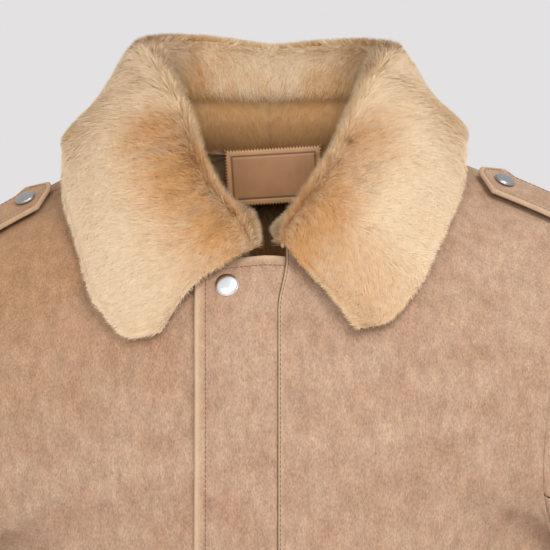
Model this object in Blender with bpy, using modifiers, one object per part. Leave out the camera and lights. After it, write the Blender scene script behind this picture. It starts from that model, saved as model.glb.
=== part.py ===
"""A suede jacket with a wide fur collar, filled out as if worn, with no wearer in it.

Metres, +Z up. The front faces -Y and the wearer's left is +X. The origin lies midway between the
tops of the two shoulders beside the neck, where a wearer carries the jacket.
"""

import math

import bmesh
import bpy
import numpy as np
from mathutils import Vector

# Cloth and seams
HIDE = 0.0025  # suede with its shorn flesh side
SLEEVE_HIDE = 0.0020
SEAM_GAP = 0.0003  # between two panels that are sewn edge to edge
ARMHOLE_GAP = 0.0013  # sleeve to armhole at the shoulder
UNDERARM_GAP = 0.0045  # what the gap gains down to the underarm, where the hide turns over

# Front closing
FLY_EDGE = -0.0510  # free edge of the fly, on the wearer's right of the centre line
FLY_SEAM = 0.0070  # where the fly is sewn to the left front
FLY_SEAM_TOP = 0.0125  # the same seam at the neck, where it leans outwards
FLY_SEAM_LEAN = 0.0360  # height over which the seam leans
FLY_COLUMNS = 6
UNDERLAP = 0.0130  # edge of the right front, hidden under the fly
FRONT_LIFT = 0.0040  # the left front climbs this far, to lie over the edge of the fly
LIFT_REACH = 0.0200
LIFT_FADE = (-0.0950, -0.0750)  # heights between which the lift runs out at the neck
SNAP_RADIUS = 0.0084
SNAP_ACROSS = -0.0290
SNAP_DOWN = 0.0193  # below the top of the fly

# The right shoulder sits lower than the left one
SHOULDER_DROP = 0.0190
DROP_FROM, DROP_TO = 0.0840, 0.2380
DROP_FADE_TOP, DROP_FADE_BOTTOM = -0.3000, -0.5600

# Body. A row of the table is a line across half of the panel, from the centre line or the neck to
# the side seam or the armhole. Columns: row, start of the line, end of the line, roundness of the
# line in plan (1 is a quarter of an ellipse, 0 is straight).
FRONT_LINES = (
    (0, (0.0000, -0.1220, -0.6900), (0.2230, 0.0000, -0.6900), 1.00),  # hem
    (1, (0.0000, -0.1240, -0.5600), (0.2240, 0.0000, -0.5600), 1.00),
    (2, (0.0000, -0.1280, -0.4200), (0.2250, 0.0000, -0.4300), 1.00),
    (3, (0.0000, -0.1290, -0.3000), (0.2230, 0.0000, -0.3050), 1.00),  # foot of the armhole
    (4, (0.0000, -0.1270, -0.2250), (0.2050, -0.0720, -0.2860), 0.85),
    (5, (0.0000, -0.1220, -0.1650), (0.1935, -0.0980, -0.2380), 0.62),
    (6, (0.0000, -0.1120, -0.1200), (0.2000, -0.0920, -0.1800), 0.50),
    (7, (0.0000, -0.0980, -0.0870), (0.2120, -0.0720, -0.1300), 0.42),  # pit of the neck
    (8, (0.0450, -0.0840, -0.0640), (0.2250, -0.0480, -0.0980), 0.35),
    (9, (0.0700, -0.0540, -0.0340), (0.2340, -0.0300, -0.0800), 0.25),
    (10, (0.0840, -0.0140, -0.0050), (0.2380, -0.0110, -0.0670), 0.12),  # shoulder seam
)
BACK_LINES = (
    (0, (0.0000, 0.1140, -0.6900), (0.2230, 0.0000, -0.6900), 1.00),
    (1, (0.0000, 0.1100, -0.5600), (0.2240, 0.0000, -0.5600), 1.00),
    (2, (0.0000, 0.1120, -0.4200), (0.2250, 0.0000, -0.4300), 1.00),
    (3, (0.0000, 0.1200, -0.3000), (0.2230, 0.0000, -0.3050), 1.00),
    (4, (0.0000, 0.1250, -0.2250), (0.2120, 0.0640, -0.2850), 0.85),
    (5, (0.0000, 0.1230, -0.1600), (0.2080, 0.0920, -0.2350), 0.65),
    (6, (0.0000, 0.1120, -0.1000), (0.2120, 0.0910, -0.1750), 0.55),
    (7, (0.0000, 0.0970, -0.0480), (0.2200, 0.0770, -0.1280), 0.45),
    (8, (0.0000, 0.0790, -0.0030), (0.2290, 0.0560, -0.0950), 0.35),  # nape
    (9, (0.0500, 0.0650, -0.0010), (0.2350, 0.0360, -0.0710), 0.22),
    (10, (0.0830, 0.0140, 0.0005), (0.2380, 0.0140, -0.0605), 0.14),  # top of the shoulder
    (11, (0.0840, -0.0140, -0.0050), (0.2380, -0.0110, -0.0670), 0.12),
)
ROW_UNDERARM = 3
ROW_PIT = 7
ROW_NAPE = 8
LINE_SAG = 0.6  # a rounder line drops later on its way outwards
PANEL_STEPS = 2  # mesh rows between two rows of a table
PANEL_COLUMNS = 13  # across half of the body

# Soft folds of the body. Columns: share of the way round from the centre line to the side, height
# of the middle, how far it stands out, half width as a share of the way round, half length.
FRONT_FOLDS = (
    (0.36, -0.640, 0.0045, 0.10, 0.130),
    (0.62, -0.600, -0.0050, 0.09, 0.150),
    (0.80, -0.450, 0.0050, 0.08, 0.100),
)
BACK_FOLDS = (
    (0.24, -0.600, -0.0045, 0.10, 0.160),
    (0.52, -0.640, 0.0050, 0.10, 0.140),
    (0.78, -0.430, 0.0050, 0.08, 0.100),
)

# Sleeve. Each row is a ring: height, middle (x, y), half width, half depth.
SLEEVE_RINGS = (
    (-0.335, 0.2925, -0.0010, 0.0565, 0.0800),
    (-0.430, 0.2970, -0.0060, 0.0545, 0.0730),
    (-0.560, 0.2980, -0.0240, 0.0490, 0.0630),
    (-0.690, 0.2950, -0.0460, 0.0440, 0.0530),
)
SLEEVE_SQUARENESS = 2.3
CAP_STEPS = 7  # mesh rings from the armhole down to the first ring of the table
RING_STEPS = 4  # mesh rings between two rows of the table
CAP_LEAVES = (1.0, 0.0, -0.28)  # direction in which the sleeve leaves the armhole
CAP_PULL, ARM_PULL = 0.60, 1.00  # how firmly it keeps that direction, and then the arm's
SLEEVE_SEAM_FRONT, SLEEVE_SEAM_BACK = -28.0, 206.0  # degrees round the sleeve, 90 is outermost
SLEEVE_SEAM_GAP = 0.40  # degrees
UPPER_COLUMNS, UNDER_COLUMNS = 12, 7
# Creases at the bend. Columns: height, degrees round, how far it stands out, half height, half
# width in degrees.
SLEEVE_FOLDS = (
    (-0.385, 0.0, -0.0060, 0.020, 50.0),
    (-0.440, -10.0, -0.0070, 0.018, 60.0),
    (-0.500, 10.0, -0.0050, 0.020, 48.0),
    (-0.450, 160.0, 0.0050, 0.034, 50.0),
    (-0.620, 50.0, -0.0045, 0.020, 60.0),
)

# Fur collar. The rows go from the centre of the back (0) to the front edge (1). The four points of
# a row lie on the pelt: seam to the stand, fold, middle of the leaf, edge of the leaf. Before them
# comes the seam to the neck, which follows the neck of the body.
COLLAR_ACROSS = (0.0, 0.20, 0.42, 0.68, 1.0)
COLLAR_SECTIONS = (
    (0.00, (0.000, 0.086, 0.033), (0.000, 0.099, 0.065), (0.000, 0.117, 0.024), (0.000, 0.109, -0.048)),
    (0.16, (0.048, 0.076, 0.034), (0.055, 0.088, 0.069), (0.079, 0.103, 0.029), (0.092, 0.093, -0.046)),
    (0.30, (0.078, 0.042, 0.031), (0.089, 0.046, 0.063), (0.114, 0.058, 0.028), (0.142, 0.054, -0.019)),
    (0.42, (0.080, 0.009, 0.024), (0.075, 0.012, 0.040), (0.112, 0.010, 0.019), (0.148, 0.000, -0.014)),
    (0.54, (0.074, -0.023, 0.002), (0.063, -0.021, 0.012), (0.104, -0.034, 0.001), (0.142, -0.047, -0.042)),
    (0.68, (0.060, -0.057, -0.024), (0.050, -0.055, -0.016), (0.089, -0.077, -0.036), (0.126, -0.080, -0.078)),
    (0.84, (0.038, -0.085, -0.054), (0.031, -0.085, -0.045), (0.065, -0.103, -0.071), (0.105, -0.105, -0.118)),
    (0.93, (0.018, -0.099, -0.071), (0.016, -0.101, -0.066), (0.048, -0.113, -0.098), (0.083, -0.117, -0.139)),
    (1.00, (0.008, -0.102, -0.081), (0.010, -0.107, -0.079), (0.035, -0.115, -0.105), (0.064, -0.122, -0.141)),
)
# The leaf at -X is cut broader and rounder. The same rows: what it adds to each of the four points,
# outwards, back and up.
COLLAR_RIGHT = (
    (0.00, (0.000, 0.000, 0.000), (0.000, 0.000, 0.001), (0.000, 0.000, 0.000), (0.000, 0.000, 0.000)),
    (0.16, (0.000, 0.000, 0.000), (0.000, 0.000, 0.003), (0.000, 0.000, 0.000), (0.000, 0.000, 0.000)),
    (0.30, (0.000, 0.000, 0.000), (0.002, 0.000, 0.004), (0.004, 0.000, 0.003), (0.004, 0.000, 0.002)),
    (0.42, (0.000, 0.000, 0.000), (0.000, 0.000, 0.001), (0.004, 0.000, 0.002), (0.006, 0.000, 0.002)),
    (0.54, (0.000, 0.000, 0.000), (-0.001, 0.000, 0.000), (0.005, 0.000, 0.001), (0.008, 0.001, 0.002)),
    (0.68, (0.002, 0.000, 0.000), (0.003, 0.000, 0.000), (0.008, 0.001, 0.001), (0.012, 0.003, 0.001)),
    (0.84, (0.003, 0.000, 0.000), (0.007, 0.000, 0.001), (0.011, 0.002, 0.000), (0.021, 0.003, -0.002)),
    (0.93, (0.002, 0.000, 0.002), (0.006, 0.000, 0.004), (0.009, 0.001, 0.000), (0.013, 0.002, -0.004)),
    (1.00, (0.000, 0.000, 0.000), (0.002, 0.000, -0.001), (0.005, 0.000, -0.004), (0.006, 0.001, 0.002)),
)
COLLAR_RISE = 0.0024  # pelt above the edge of the neck
COLLAR_INSIDE = 0.0018  # pelt inside the edge of the neck
PELT = 0.0024
PILE = 0.0105  # thickness of the fur as it lies
STAND_PILE = 0.0060
PILE_SEAM = 0.10  # share of the way across over which the fur gains its depth from the stand's
STAND_GAP = 0.0005
PILE_ROUND = 0.20  # share of the way across over which the fur rounds off to the edge
FRONT_ROUND = 0.10  # the same towards the front end
FRONT_LEAST = 0.35
STAND_FULL, STAND_END = 0.40, 0.64  # shares round the collar between which the stand runs out
COLLAR_STATIONS, COLLAR_POINTS = 19, 14
STAND_STATIONS, STAND_POINTS = 11, 4  # the stand ends on the collar's eleventh station

# Shoulder straps
STRAP_HALF_WIDTH = 0.0220
STRAP_TIP = {1: 0.1490, -1: 0.1535}  # distance of the point from the centre line, at +X and -X
STRAP_FORWARD = 0.0020  # its middle lies this far in front of the shoulder seam
STRAP_POINT = 0.0150  # length of the pointed end
STRAP_SKEW = 0.0050  # its back corner lies further out than its front corner
STRAP_THICKNESS = 0.0030
STRAP_LIFT = 0.0022  # the strap springs clear of the shoulder
STRAP_END_GAP = 0.0012  # strap to sleeve
STRAP_STATIONS = 11
STRAP_COLUMNS = 7
STRAP_SNAP_GAP = 0.0010  # the strap is curved under the snap
STRAP_SNAP_RADIUS = 0.0078
STRAP_SNAP = 0.0230  # snap from the point of the strap
PROFILE_POINTS = 40  # points read on each side of the shoulder seam

# Inside of the neck
LINING_PILE = 0.0060
LINING_GAP = 0.0009
LINING_FIRST, LINING_LAST = 4, 10  # rows of the back between which the fur lining lies
LINING_COLUMNS = 7  # of the mesh columns of the back
LINING_START = 0.025  # share of the way round that it keeps from the edge of the neck
LABEL_WIDTH, LABEL_HEIGHT = 0.0720, 0.0410
LABEL_MIDDLE = (0.0045, 0.0595, -0.0249)  # middle of its face
LABEL_LEAN = 0.12  # its lower edge hangs further back
LABEL_BOW = 0.80  # its ends lie further back, times the square of the distance in metres
LABEL_THICKNESS = 0.0015
LABEL_TURN = 3.5  # degrees, its left end hangs lower
LABEL_COLUMNS, LABEL_STATIONS = 9, 5

SNAP_STEPS = 24
# Dome of a snap, from its crown down its side. Columns: share of the radius, height.
SNAP_PROFILE = (
    (0.00, 0.0030),
    (0.35, 0.0029),
    (0.68, 0.0024),
    (0.90, 0.0016),
    (1.00, 0.0008),
    (1.00, 0.0000),
    (0.00, 0.0000),
)

COLLECTION = "suede_jacket"
SUEDE = ("suede", (0.58, 0.37, 0.24), 0.95, 0.0)
FUR = ("fur", (0.73, 0.54, 0.35), 0.90, 0.0)
LEATHER = ("smooth_leather", (0.33, 0.17, 0.08), 0.45, 0.0)
METAL = ("polished_metal", (0.80, 0.81, 0.82), 0.20, 1.0)


def clear_scene():
    """Empties the scene and gives the collection that holds the garment."""
    for old in list(bpy.data.objects):
        bpy.data.objects.remove(old)
    home = bpy.data.collections.new(COLLECTION)
    bpy.context.scene.collection.children.link(home)
    return home


def finish(kind):
    """The material of a name, made once."""
    name, colour, roughness, metallic = kind
    made = bpy.data.materials.get(name)
    if made is None:
        made = bpy.data.materials.new(name)
        made.use_nodes = True
        shader = made.node_tree.nodes["Principled BSDF"]
        shader.inputs["Base Color"].default_value = (*colour, 1.0)
        shader.inputs["Roughness"].default_value = roughness
        shader.inputs["Metallic"].default_value = metallic
    return made


# Curves and forms


def smooth_table(keys, values, at):
    """Smooth curve through the rows of a table, which doesn't overshoot where an outline turns."""
    keys, values, at = (np.asarray(x, float) for x in (keys, values, at))
    slope = np.diff(values, axis=0) / np.diff(keys)[:, None]
    before, after = slope[:-1], slope[1:]
    same_way = before * after > 0
    inner = np.where(same_way, 2 * before * after / np.where(same_way, before + after, 1.0), 0.0)
    tangent = np.vstack([slope[:1], inner, slope[-1:]])
    i = np.clip(np.searchsorted(keys, at, side="right") - 1, 0, len(keys) - 2)
    step = (keys[i + 1] - keys[i])[:, None]
    t = (at - keys[i])[:, None] / step
    start = (1 + 2 * t) * (1 - t) ** 2 * values[i] + t * (1 - t) ** 2 * step * tangent[i]
    end = t * t * (3 - 2 * t) * values[i + 1] + t * t * (t - 1) * step * tangent[i + 1]
    return start + end


def ease(x):
    """0 to 1 with a soft start and end."""
    x = np.clip(x, 0.0, 1.0)
    return x * x * (3 - 2 * x)


def bump(x, middle, half_width):
    """A soft hump, 1 in its middle."""
    return np.exp(-(((x - middle) / half_width) ** 2))


def unit(vectors):
    """The same directions, of length 1."""
    return vectors / np.linalg.norm(vectors, axis=-1, keepdims=True)


def normals(points):
    """Unit normals of a grid of points: along a row of points crossed with along a column."""
    return unit(np.cross(np.gradient(points, axis=1), np.gradient(points, axis=0)))


def mirrored(points):
    """The same points on the other side of the centre line."""
    return points * np.array([-1.0, 1.0, 1.0])


def settle(points):
    """Lets the right shoulder, at -X, sink by its drop. The hem stays level."""
    points = np.array(points, float)
    out = (-points[..., 0] - DROP_FROM) / (DROP_TO - DROP_FROM)
    down = (points[..., 2] - DROP_FADE_BOTTOM) / (DROP_FADE_TOP - DROP_FADE_BOTTOM)
    points[..., 2] -= SHOULDER_DROP * np.clip(out, 0.0, 1.0) * ease(down)
    return points


def read_lines(lines, rows):
    """Start, end and roundness of the lines of a body table at any rows between its own."""
    table = [(*start, *end, roundness) for _, start, end, roundness in lines]
    at = smooth_table([line[0] for line in lines], table, rows)
    return at[:, 0:3], at[:, 3:6], at[:, 6:7]


def body_grid(lines, rows, across):
    """Points of half the body at table rows, each with its own shares of the way round."""
    start, end, roundness = read_lines(lines, rows)
    turn = across * math.pi / 2
    out = (1 - roundness) * across + roundness * np.sin(turn)
    back = (1 - roundness) * across + roundness * (1 - np.cos(turn))
    down = across ** (1 + LINE_SAG * roundness)
    return start[:, None] + (end - start)[:, None] * np.stack([out, back, down], axis=-1)


def shares_at(lines, rows, distance):
    """Share of the way round at which each row is this far from the centre line."""
    dense = np.linspace(0.0, 1.0, 201)
    grid = body_grid(lines, rows, np.tile(dense, (len(rows), 1)))
    return np.stack([np.interp(distance[i], grid[i, :, 0], dense) for i in range(len(rows))])


def add_folds(points, across, folds, outwards):
    """Pushes half of the body out and in by its soft folds."""
    out = normals(points) * outwards
    push = sum(
        depth * bump(across, middle, half_width) * bump(points[..., 2], height, half_length)
        for middle, height, depth, half_width, half_length in folds
    )
    return points + out * push[..., None]


def table_rows(first, last):
    """Mesh rows from one table row to another, a few to each step of the table."""
    return np.linspace(first, last, (last - first) * PANEL_STEPS + 1)


# Meshes


def mesh_object(name, points, faces, kind, home):
    """An object from points and faces, smooth shaded, in the garment's collection."""
    mesh = bpy.data.meshes.new(name)
    mesh.from_pydata([tuple(p) for p in points], [], faces)
    made = bpy.data.objects.new(name, mesh)
    made.data.materials.append(finish(kind))
    home.objects.link(made)
    mesh.shade_smooth()
    return made


def grid_faces(rows, columns, turned, first=0):
    """The quads of a grid of points, which face as its normals do unless turned."""
    faces = []
    for i in range(rows - 1):
        for j in range(columns - 1):
            corner = first + i * columns + j
            quad = (corner, corner + 1, corner + columns + 1, corner + columns)
            faces.append(quad[::-1] if turned else quad)
    return faces


def cloth(name, grids, thickness, kind, home):
    """A panel of cloth: grids of points on its inner face, joined and thickened outwards.

    A grid is given with whether its faces are turned over.
    """
    points, faces = [], []
    for grid, turned in grids:
        faces += grid_faces(*grid.shape[:2], turned, first=len(points))
        points += list(grid.reshape(-1, 3))
    panel = mesh_object(name, points, faces, kind, home)
    cage = bmesh.new()
    cage.from_mesh(panel.data)
    bmesh.ops.remove_doubles(cage, verts=cage.verts, dist=SEAM_GAP / 10)
    cage.to_mesh(panel.data)
    cage.free()
    wall = panel.modifiers.new("thickness", "SOLIDIFY")
    wall.thickness = thickness
    wall.offset = 1.0
    return panel


def pelt_wall(name, outer, inner, turned, kind, home):
    """A closed wall between two unlike grids, such as a pelt under fur that is thin at its edge."""
    rows, columns = outer.shape[:2]
    count = rows * columns
    faces = grid_faces(rows, columns, turned)
    faces += [tuple(count + i for i in face[::-1]) for face in faces]
    rim = list(range(columns))
    rim += [i * columns + columns - 1 for i in range(1, rows)]
    rim += [(rows - 1) * columns + j for j in range(columns - 2, -1, -1)]
    rim += [i * columns for i in range(rows - 2, 0, -1)]
    both = np.vstack([outer.reshape(-1, 3), inner.reshape(-1, 3)])
    for a, b in zip(rim, rim[1:] + rim[:1]):
        quad = (b, a, count + a, count + b)
        faces += two_triangles(both, quad[::-1] if turned else quad)
    return mesh_object(name, both, faces, kind, home)


def two_triangles(points, quad):
    """A quad cut along its shorter diagonal, so that two pieces that meet there are cut alike."""
    a, b, c, d = quad
    if np.linalg.norm(points[a] - points[c]) <= np.linalg.norm(points[b] - points[d]):
        return [(a, b, c), (a, c, d)]
    return [(a, b, d), (b, c, d)]


# Body


def fly_seam(heights):
    """Distance of the fly's seam from the centre line, which leans outwards near the neck."""
    neck = FRONT_LINES[ROW_PIT][1][2]
    return FLY_SEAM + (FLY_SEAM_TOP - FLY_SEAM) * ease((heights - neck + FLY_SEAM_LEAN) / FLY_SEAM_LEAN)


def front_panel(edge_at):
    """Half a front, from an edge that is given for each height, to the side, armhole and shoulder."""
    rows = table_rows(0, FRONT_LINES[-1][0])
    start = read_lines(FRONT_LINES, rows)[0]
    edge = np.maximum(edge_at(start[:, 2]), start[:, 0])
    first = shares_at(FRONT_LINES, rows, edge[:, None])
    across = first + (1 - first) * np.linspace(0.0, 1.0, PANEL_COLUMNS)
    points = body_grid(FRONT_LINES, rows, across)
    return add_folds(points, across, FRONT_FOLDS, outwards=1.0)


def build_fronts(home):
    """The left front, which climbs over the fly's seam, and the right front, which runs under it."""
    left = front_panel(fly_seam)
    fade = 1 - ease((left[..., 2] - LIFT_FADE[0]) / (LIFT_FADE[1] - LIFT_FADE[0]))
    left[..., 1] -= FRONT_LIFT * bump(left[..., 0], FLY_SEAM, LIFT_REACH) * fade
    cloth("front_left", [(settle(left), False)], HIDE, SUEDE, home)
    right = front_panel(lambda heights: np.full(heights.shape, UNDERLAP))
    cloth("front_right", [(settle(mirrored(right)), True)], HIDE, SUEDE, home)


def build_back(home):
    """The back, cut in one piece, which reaches over the shoulders to the seams in front."""
    rows = table_rows(0, BACK_LINES[-1][0])
    across = np.tile(np.linspace(0.0, 1.0, PANEL_COLUMNS), (len(rows), 1))
    half = add_folds(body_grid(BACK_LINES, rows, across), across, BACK_FOLDS, outwards=-1.0)
    half[..., 1] += SEAM_GAP
    cloth("back", [(settle(half), True), (settle(mirrored(half)), False)], HIDE, SUEDE, home)


def fly_grid():
    """Points under the fly, on the form of the fronts, from the hem to the neck."""
    rows = table_rows(0, ROW_PIT)
    heights = read_lines(FRONT_LINES, rows)[0][:, 2:3]
    to_seam = fly_seam(heights) - SEAM_GAP
    distance = FLY_EDGE + (to_seam - FLY_EDGE) * np.linspace(0.0, 1.0, FLY_COLUMNS)
    points = body_grid(FRONT_LINES, rows, shares_at(FRONT_LINES, rows, np.abs(distance)))
    points[..., 0] = distance
    return points


def build_fly(home):
    """The fly, a long strip over the closing, and the one snap that shows on it."""
    under = fly_grid()
    strip = under + normals(under) * (HIDE + SEAM_GAP)
    cloth("placket", [(strip, False)], HIDE, SUEDE, home)
    face = under + normals(under) * (2 * HIDE + 2 * SEAM_GAP)
    top = face[-1, :, 2].mean()
    put_snap("snap_front", point_near(face, SNAP_ACROSS, top - SNAP_DOWN), SNAP_RADIUS, home)


def point_near(grid, across, height):
    """Point and outward direction of a front grid at a place seen from the front."""
    rows = [np.interp(across, line[:, 0], np.arange(len(line))) for line in grid]
    line = np.array([
        [np.interp(place, np.arange(len(points)), points[:, k]) for k in range(3)]
        for place, points in zip(rows, grid)
    ])
    facing = np.array([n[int(round(r))] for r, n in zip(rows, normals(grid))])
    point = [np.interp(height, line[:, 2], line[:, k]) for k in range(3)]
    return point, [np.interp(height, line[:, 2], facing[:, k]) for k in range(3)]


def put_snap(name, place, radius, home):
    """A domed snap cap at a point, facing a direction."""
    point, facing = place
    mesh = bpy.data.meshes.new(name)
    profile = [(share * radius, 0.0, height) for share, height in SNAP_PROFILE]
    mesh.from_pydata(profile, [(i, i + 1) for i in range(len(profile) - 1)], [])
    snap = bpy.data.objects.new(name, mesh)
    snap.data.materials.append(finish(METAL))
    home.objects.link(snap)
    turned = snap.modifiers.new("turned", "SCREW")
    turned.steps = SNAP_STEPS
    turned.render_steps = SNAP_STEPS
    turned.use_merge_vertices = True
    turned.merge_threshold = 0.00001
    snap.location = point
    snap.rotation_mode = "QUATERNION"
    snap.rotation_quaternion = Vector(facing).to_track_quat("Z", "Y")
    return snap


# Sleeves


def along_edge(lines, rows, shares, which):
    """Points at shares of the length of a panel's edge: its starts (0) or its ends (1)."""
    edge = read_lines(lines, np.linspace(rows[0], rows[1], 400))[which]
    length = np.concatenate([[0.0], np.cumsum(np.linalg.norm(np.diff(edge, axis=0), axis=1))])
    return np.stack([np.interp(shares * length[-1], length, edge[:, k]) for k in range(3)], axis=-1)


def armhole(degrees):
    """Edge of the armhole at degrees round the sleeve: -90 underarm, 0 front, 90 shoulder, 180 back."""
    up_front, down_back = (np.clip((degrees + turn) / 180, 0, 1) for turn in (90, -90))
    front = along_edge(FRONT_LINES, (ROW_UNDERARM, FRONT_LINES[-1][0]), up_front, 1)
    back = along_edge(BACK_LINES, (BACK_LINES[-1][0], ROW_UNDERARM), down_back, 1)
    edge = np.where(degrees[:, None] <= 90, front, back)
    low = (1 - np.sin(np.radians(degrees))) / 2
    edge[:, 0] += ARMHOLE_GAP + UNDERARM_GAP * low**2
    return edge


def sleeve_rings(heights, degrees):
    """Rings of the arm at heights below the cap."""
    table = [ring[1:] for ring in SLEEVE_RINGS][::-1]
    x, y, half_width, half_depth = smooth_table([ring[0] for ring in SLEEVE_RINGS][::-1], table, heights).T
    sine, cosine = np.sin(np.radians(degrees)), np.cos(np.radians(degrees))
    power = 2 / SLEEVE_SQUARENESS
    across = np.sign(sine) * np.abs(sine) ** power
    deep = np.sign(cosine) * np.abs(cosine) ** power
    ring = np.zeros((len(heights), len(degrees), 3))
    ring[..., 0] = x[:, None] + half_width[:, None] * across
    ring[..., 1] = y[:, None] - half_depth[:, None] * deep
    ring[..., 2] = heights[:, None]
    return ring


def sleeve_grid(degrees, cap_steps, ring_steps):
    """Inner face of a sleeve at +X, from the armhole to the cuff."""
    top, bottom = SLEEVE_RINGS[0][0], SLEEVE_RINGS[-1][0]
    heights = np.linspace(top, bottom, (len(SLEEVE_RINGS) - 1) * ring_steps + 1)
    arm = sleeve_rings(heights, degrees)
    edge = armhole(degrees)
    reach = np.linalg.norm(arm[0] - edge, axis=1)[:, None]
    leaves = reach * CAP_PULL * np.array(CAP_LEAVES)
    meets = reach * ARM_PULL * np.array([0.0, 0.0, -1.0])
    t = np.linspace(0.0, 1.0, cap_steps + 1)[:-1, None, None]
    cap = (1 + 2 * t) * (1 - t) ** 2 * edge + t * (1 - t) ** 2 * leaves
    cap = cap + t * t * (3 - 2 * t) * arm[0] + t * t * (t - 1) * meets
    grid = np.concatenate([cap, arm])
    push = sum(
        depth * bump(grid[..., 2], height, half_height) * bump((degrees - angle + 180) % 360, 180, half_angle)
        for height, angle, depth, half_height, half_angle in SLEEVE_FOLDS
    )
    out = np.stack([np.sin(np.radians(degrees)), -np.cos(np.radians(degrees)), 0 * degrees], axis=-1)
    return grid + out * push[..., None]


def build_sleeves(home):
    """Both sleeves, each of an upper and an under sleeve."""
    spans = {
        "upper": (SLEEVE_SEAM_FRONT, SLEEVE_SEAM_BACK, UPPER_COLUMNS),
        "under": (
            SLEEVE_SEAM_BACK + SLEEVE_SEAM_GAP,
            360 + SLEEVE_SEAM_FRONT - SLEEVE_SEAM_GAP,
            UNDER_COLUMNS,
        ),
    }
    for part, (first, last, columns) in spans.items():
        degrees = np.linspace(first, last, columns)
        degrees = np.where(degrees > 270, degrees - 360, degrees)
        grid = sleeve_grid(degrees, CAP_STEPS, RING_STEPS)
        cloth(f"sleeve_left_{part}", [(grid, True)], SLEEVE_HIDE, SUEDE, home)
        cloth(f"sleeve_right_{part}", [(settle(mirrored(grid)), False)], SLEEVE_HIDE, SUEDE, home)


# Collar


def neck_edge(shares):
    """Edge of the neck at shares round the collar: 0 at the nape, 0.5 at the shoulder seam, 1 in front."""
    back = along_edge(BACK_LINES, (ROW_NAPE, BACK_LINES[-1][0]), np.clip(shares * 2, 0, 1), 0)
    last = ROW_PIT + 0.26
    front = along_edge(FRONT_LINES, (FRONT_LINES[-1][0], last), np.clip(shares * 2 - 1, 0, 1), 0)
    return np.where(shares[:, None] <= 0.5, back, front)


def collar_surface(side, shares, across):
    """Points of the pelt on one side of the collar, at shares round it and across it.

    Every share round the collar has its own row of shares across.
    """
    keys = [row[0] for row in COLLAR_SECTIONS]
    sections = np.array([row[1:] for row in COLLAR_SECTIONS])
    if side < 0:
        sections = sections + np.array([row[1:] for row in COLLAR_RIGHT])
    at = smooth_table(keys, sections.reshape(len(keys), -1), shares).reshape(len(shares), -1, 3)
    seam = neck_edge(shares)
    seam[:, :2] *= 1 - COLLAR_INSIDE / np.linalg.norm(seam[:, :2], axis=1, keepdims=True)
    seam[:, 2] += COLLAR_RISE
    at = np.concatenate([seam[:, None], at], axis=1)
    grid = np.stack([smooth_table(COLLAR_ACROSS, at[i], across[i]) for i in range(len(shares))])
    return grid * np.array([side, 1.0, 1.0])


def collar_facing(side, shares, across, step=0.002):
    """Directions in which the fur stands off the pelt."""
    before, after = np.maximum(shares - step, 0.0), np.minimum(shares + step, 1.0)
    below, above = np.maximum(across - step, 0.0), np.minimum(across + step, 1.0)
    round_it = collar_surface(side, after, across) - collar_surface(side, before, across)
    across_it = collar_surface(side, shares, above) - collar_surface(side, shares, below)
    return side * unit(np.cross(round_it, across_it))


def stand_top(shares):
    """Share of the way across at which the stand meets the collar, which runs out in front."""
    return COLLAR_ACROSS[1] * (1 - ease((shares - STAND_FULL) / (STAND_END - STAND_FULL)))


def fur_depth(shares, across):
    """Thickness of the fur: shallow at the stand, and rounded off at the leaf's edge and its front end."""
    to_edge = np.clip((across - 1 + PILE_ROUND) / PILE_ROUND, 0, 1)
    to_front = np.clip((shares - 1 + FRONT_ROUND) / FRONT_ROUND, 0, 1)[:, None]
    front = np.maximum(np.sqrt(1 - to_front**2), FRONT_LEAST)
    from_seam = ease((across - stand_top(shares)[:, None]) / PILE_SEAM)
    return (STAND_PILE + (PILE - STAND_PILE) * from_seam) * np.sqrt(1 - to_edge**2) * front


def keep_side(points, side):
    """Keeps a half of the collar on its own side of the centre seam."""
    points = np.array(points)
    points[..., 0] = side * np.maximum(side * points[..., 0], SEAM_GAP / 2)
    return points


def build_collar(home):
    """The two halves of the fur collar, and the fur stand inside the neck."""
    shares = np.linspace(0.0, 1.0, COLLAR_STATIONS)
    top = stand_top(shares)
    length = np.linalg.norm(
        collar_surface(1, shares, (top + 0.01)[:, None]) - collar_surface(1, shares, top[:, None]), axis=-1
    )[:, 0]
    gap = STAND_GAP * 0.01 / length  # as a share of the way across
    even = np.linspace(0.0, 1.0, COLLAR_POINTS)
    across = (top + gap / 2)[:, None] + (1 - top - gap / 2)[:, None] * even
    for side, name in ((1, "collar_left"), (-1, "collar_right")):
        pelt = collar_surface(side, shares, across)
        facing = collar_facing(side, shares, across)
        fur = pelt + facing * (PELT / 2 + fur_depth(shares, across))[..., None]
        skin = pelt - facing * PELT / 2
        outer, inner = settle(keep_side(fur, side)), settle(keep_side(skin, side))
        pelt_wall(name, outer, inner, side > 0, FUR, home)

    shares, top, gap = (x[:STAND_STATIONS] for x in (shares, top, gap))
    across = (top - gap / 2)[:, None] * np.linspace(0.0, 1.0, STAND_POINTS)
    halves = []
    for side in (-1, 1):
        pelt = collar_surface(side, shares, across)
        facing = collar_facing(side, shares, across)
        both = [pelt + facing * (PELT / 2 + STAND_PILE), pelt - facing * PELT / 2]
        for wall in both:
            wall[0, :, 0] = 0.0
        halves.append(both)
    outer, inner = (settle(np.concatenate([halves[0][k][:0:-1], halves[1][k]])) for k in (0, 1))
    pelt_wall("collar_stand", outer, inner, True, FUR, home)


# Shoulder straps


def line_at(lines, rows, distance):
    """Points of half the body at table rows, all this far from the centre line."""
    return body_grid(lines, rows, shares_at(lines, rows, np.full((len(rows), 1), distance)))[:, 0]


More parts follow.
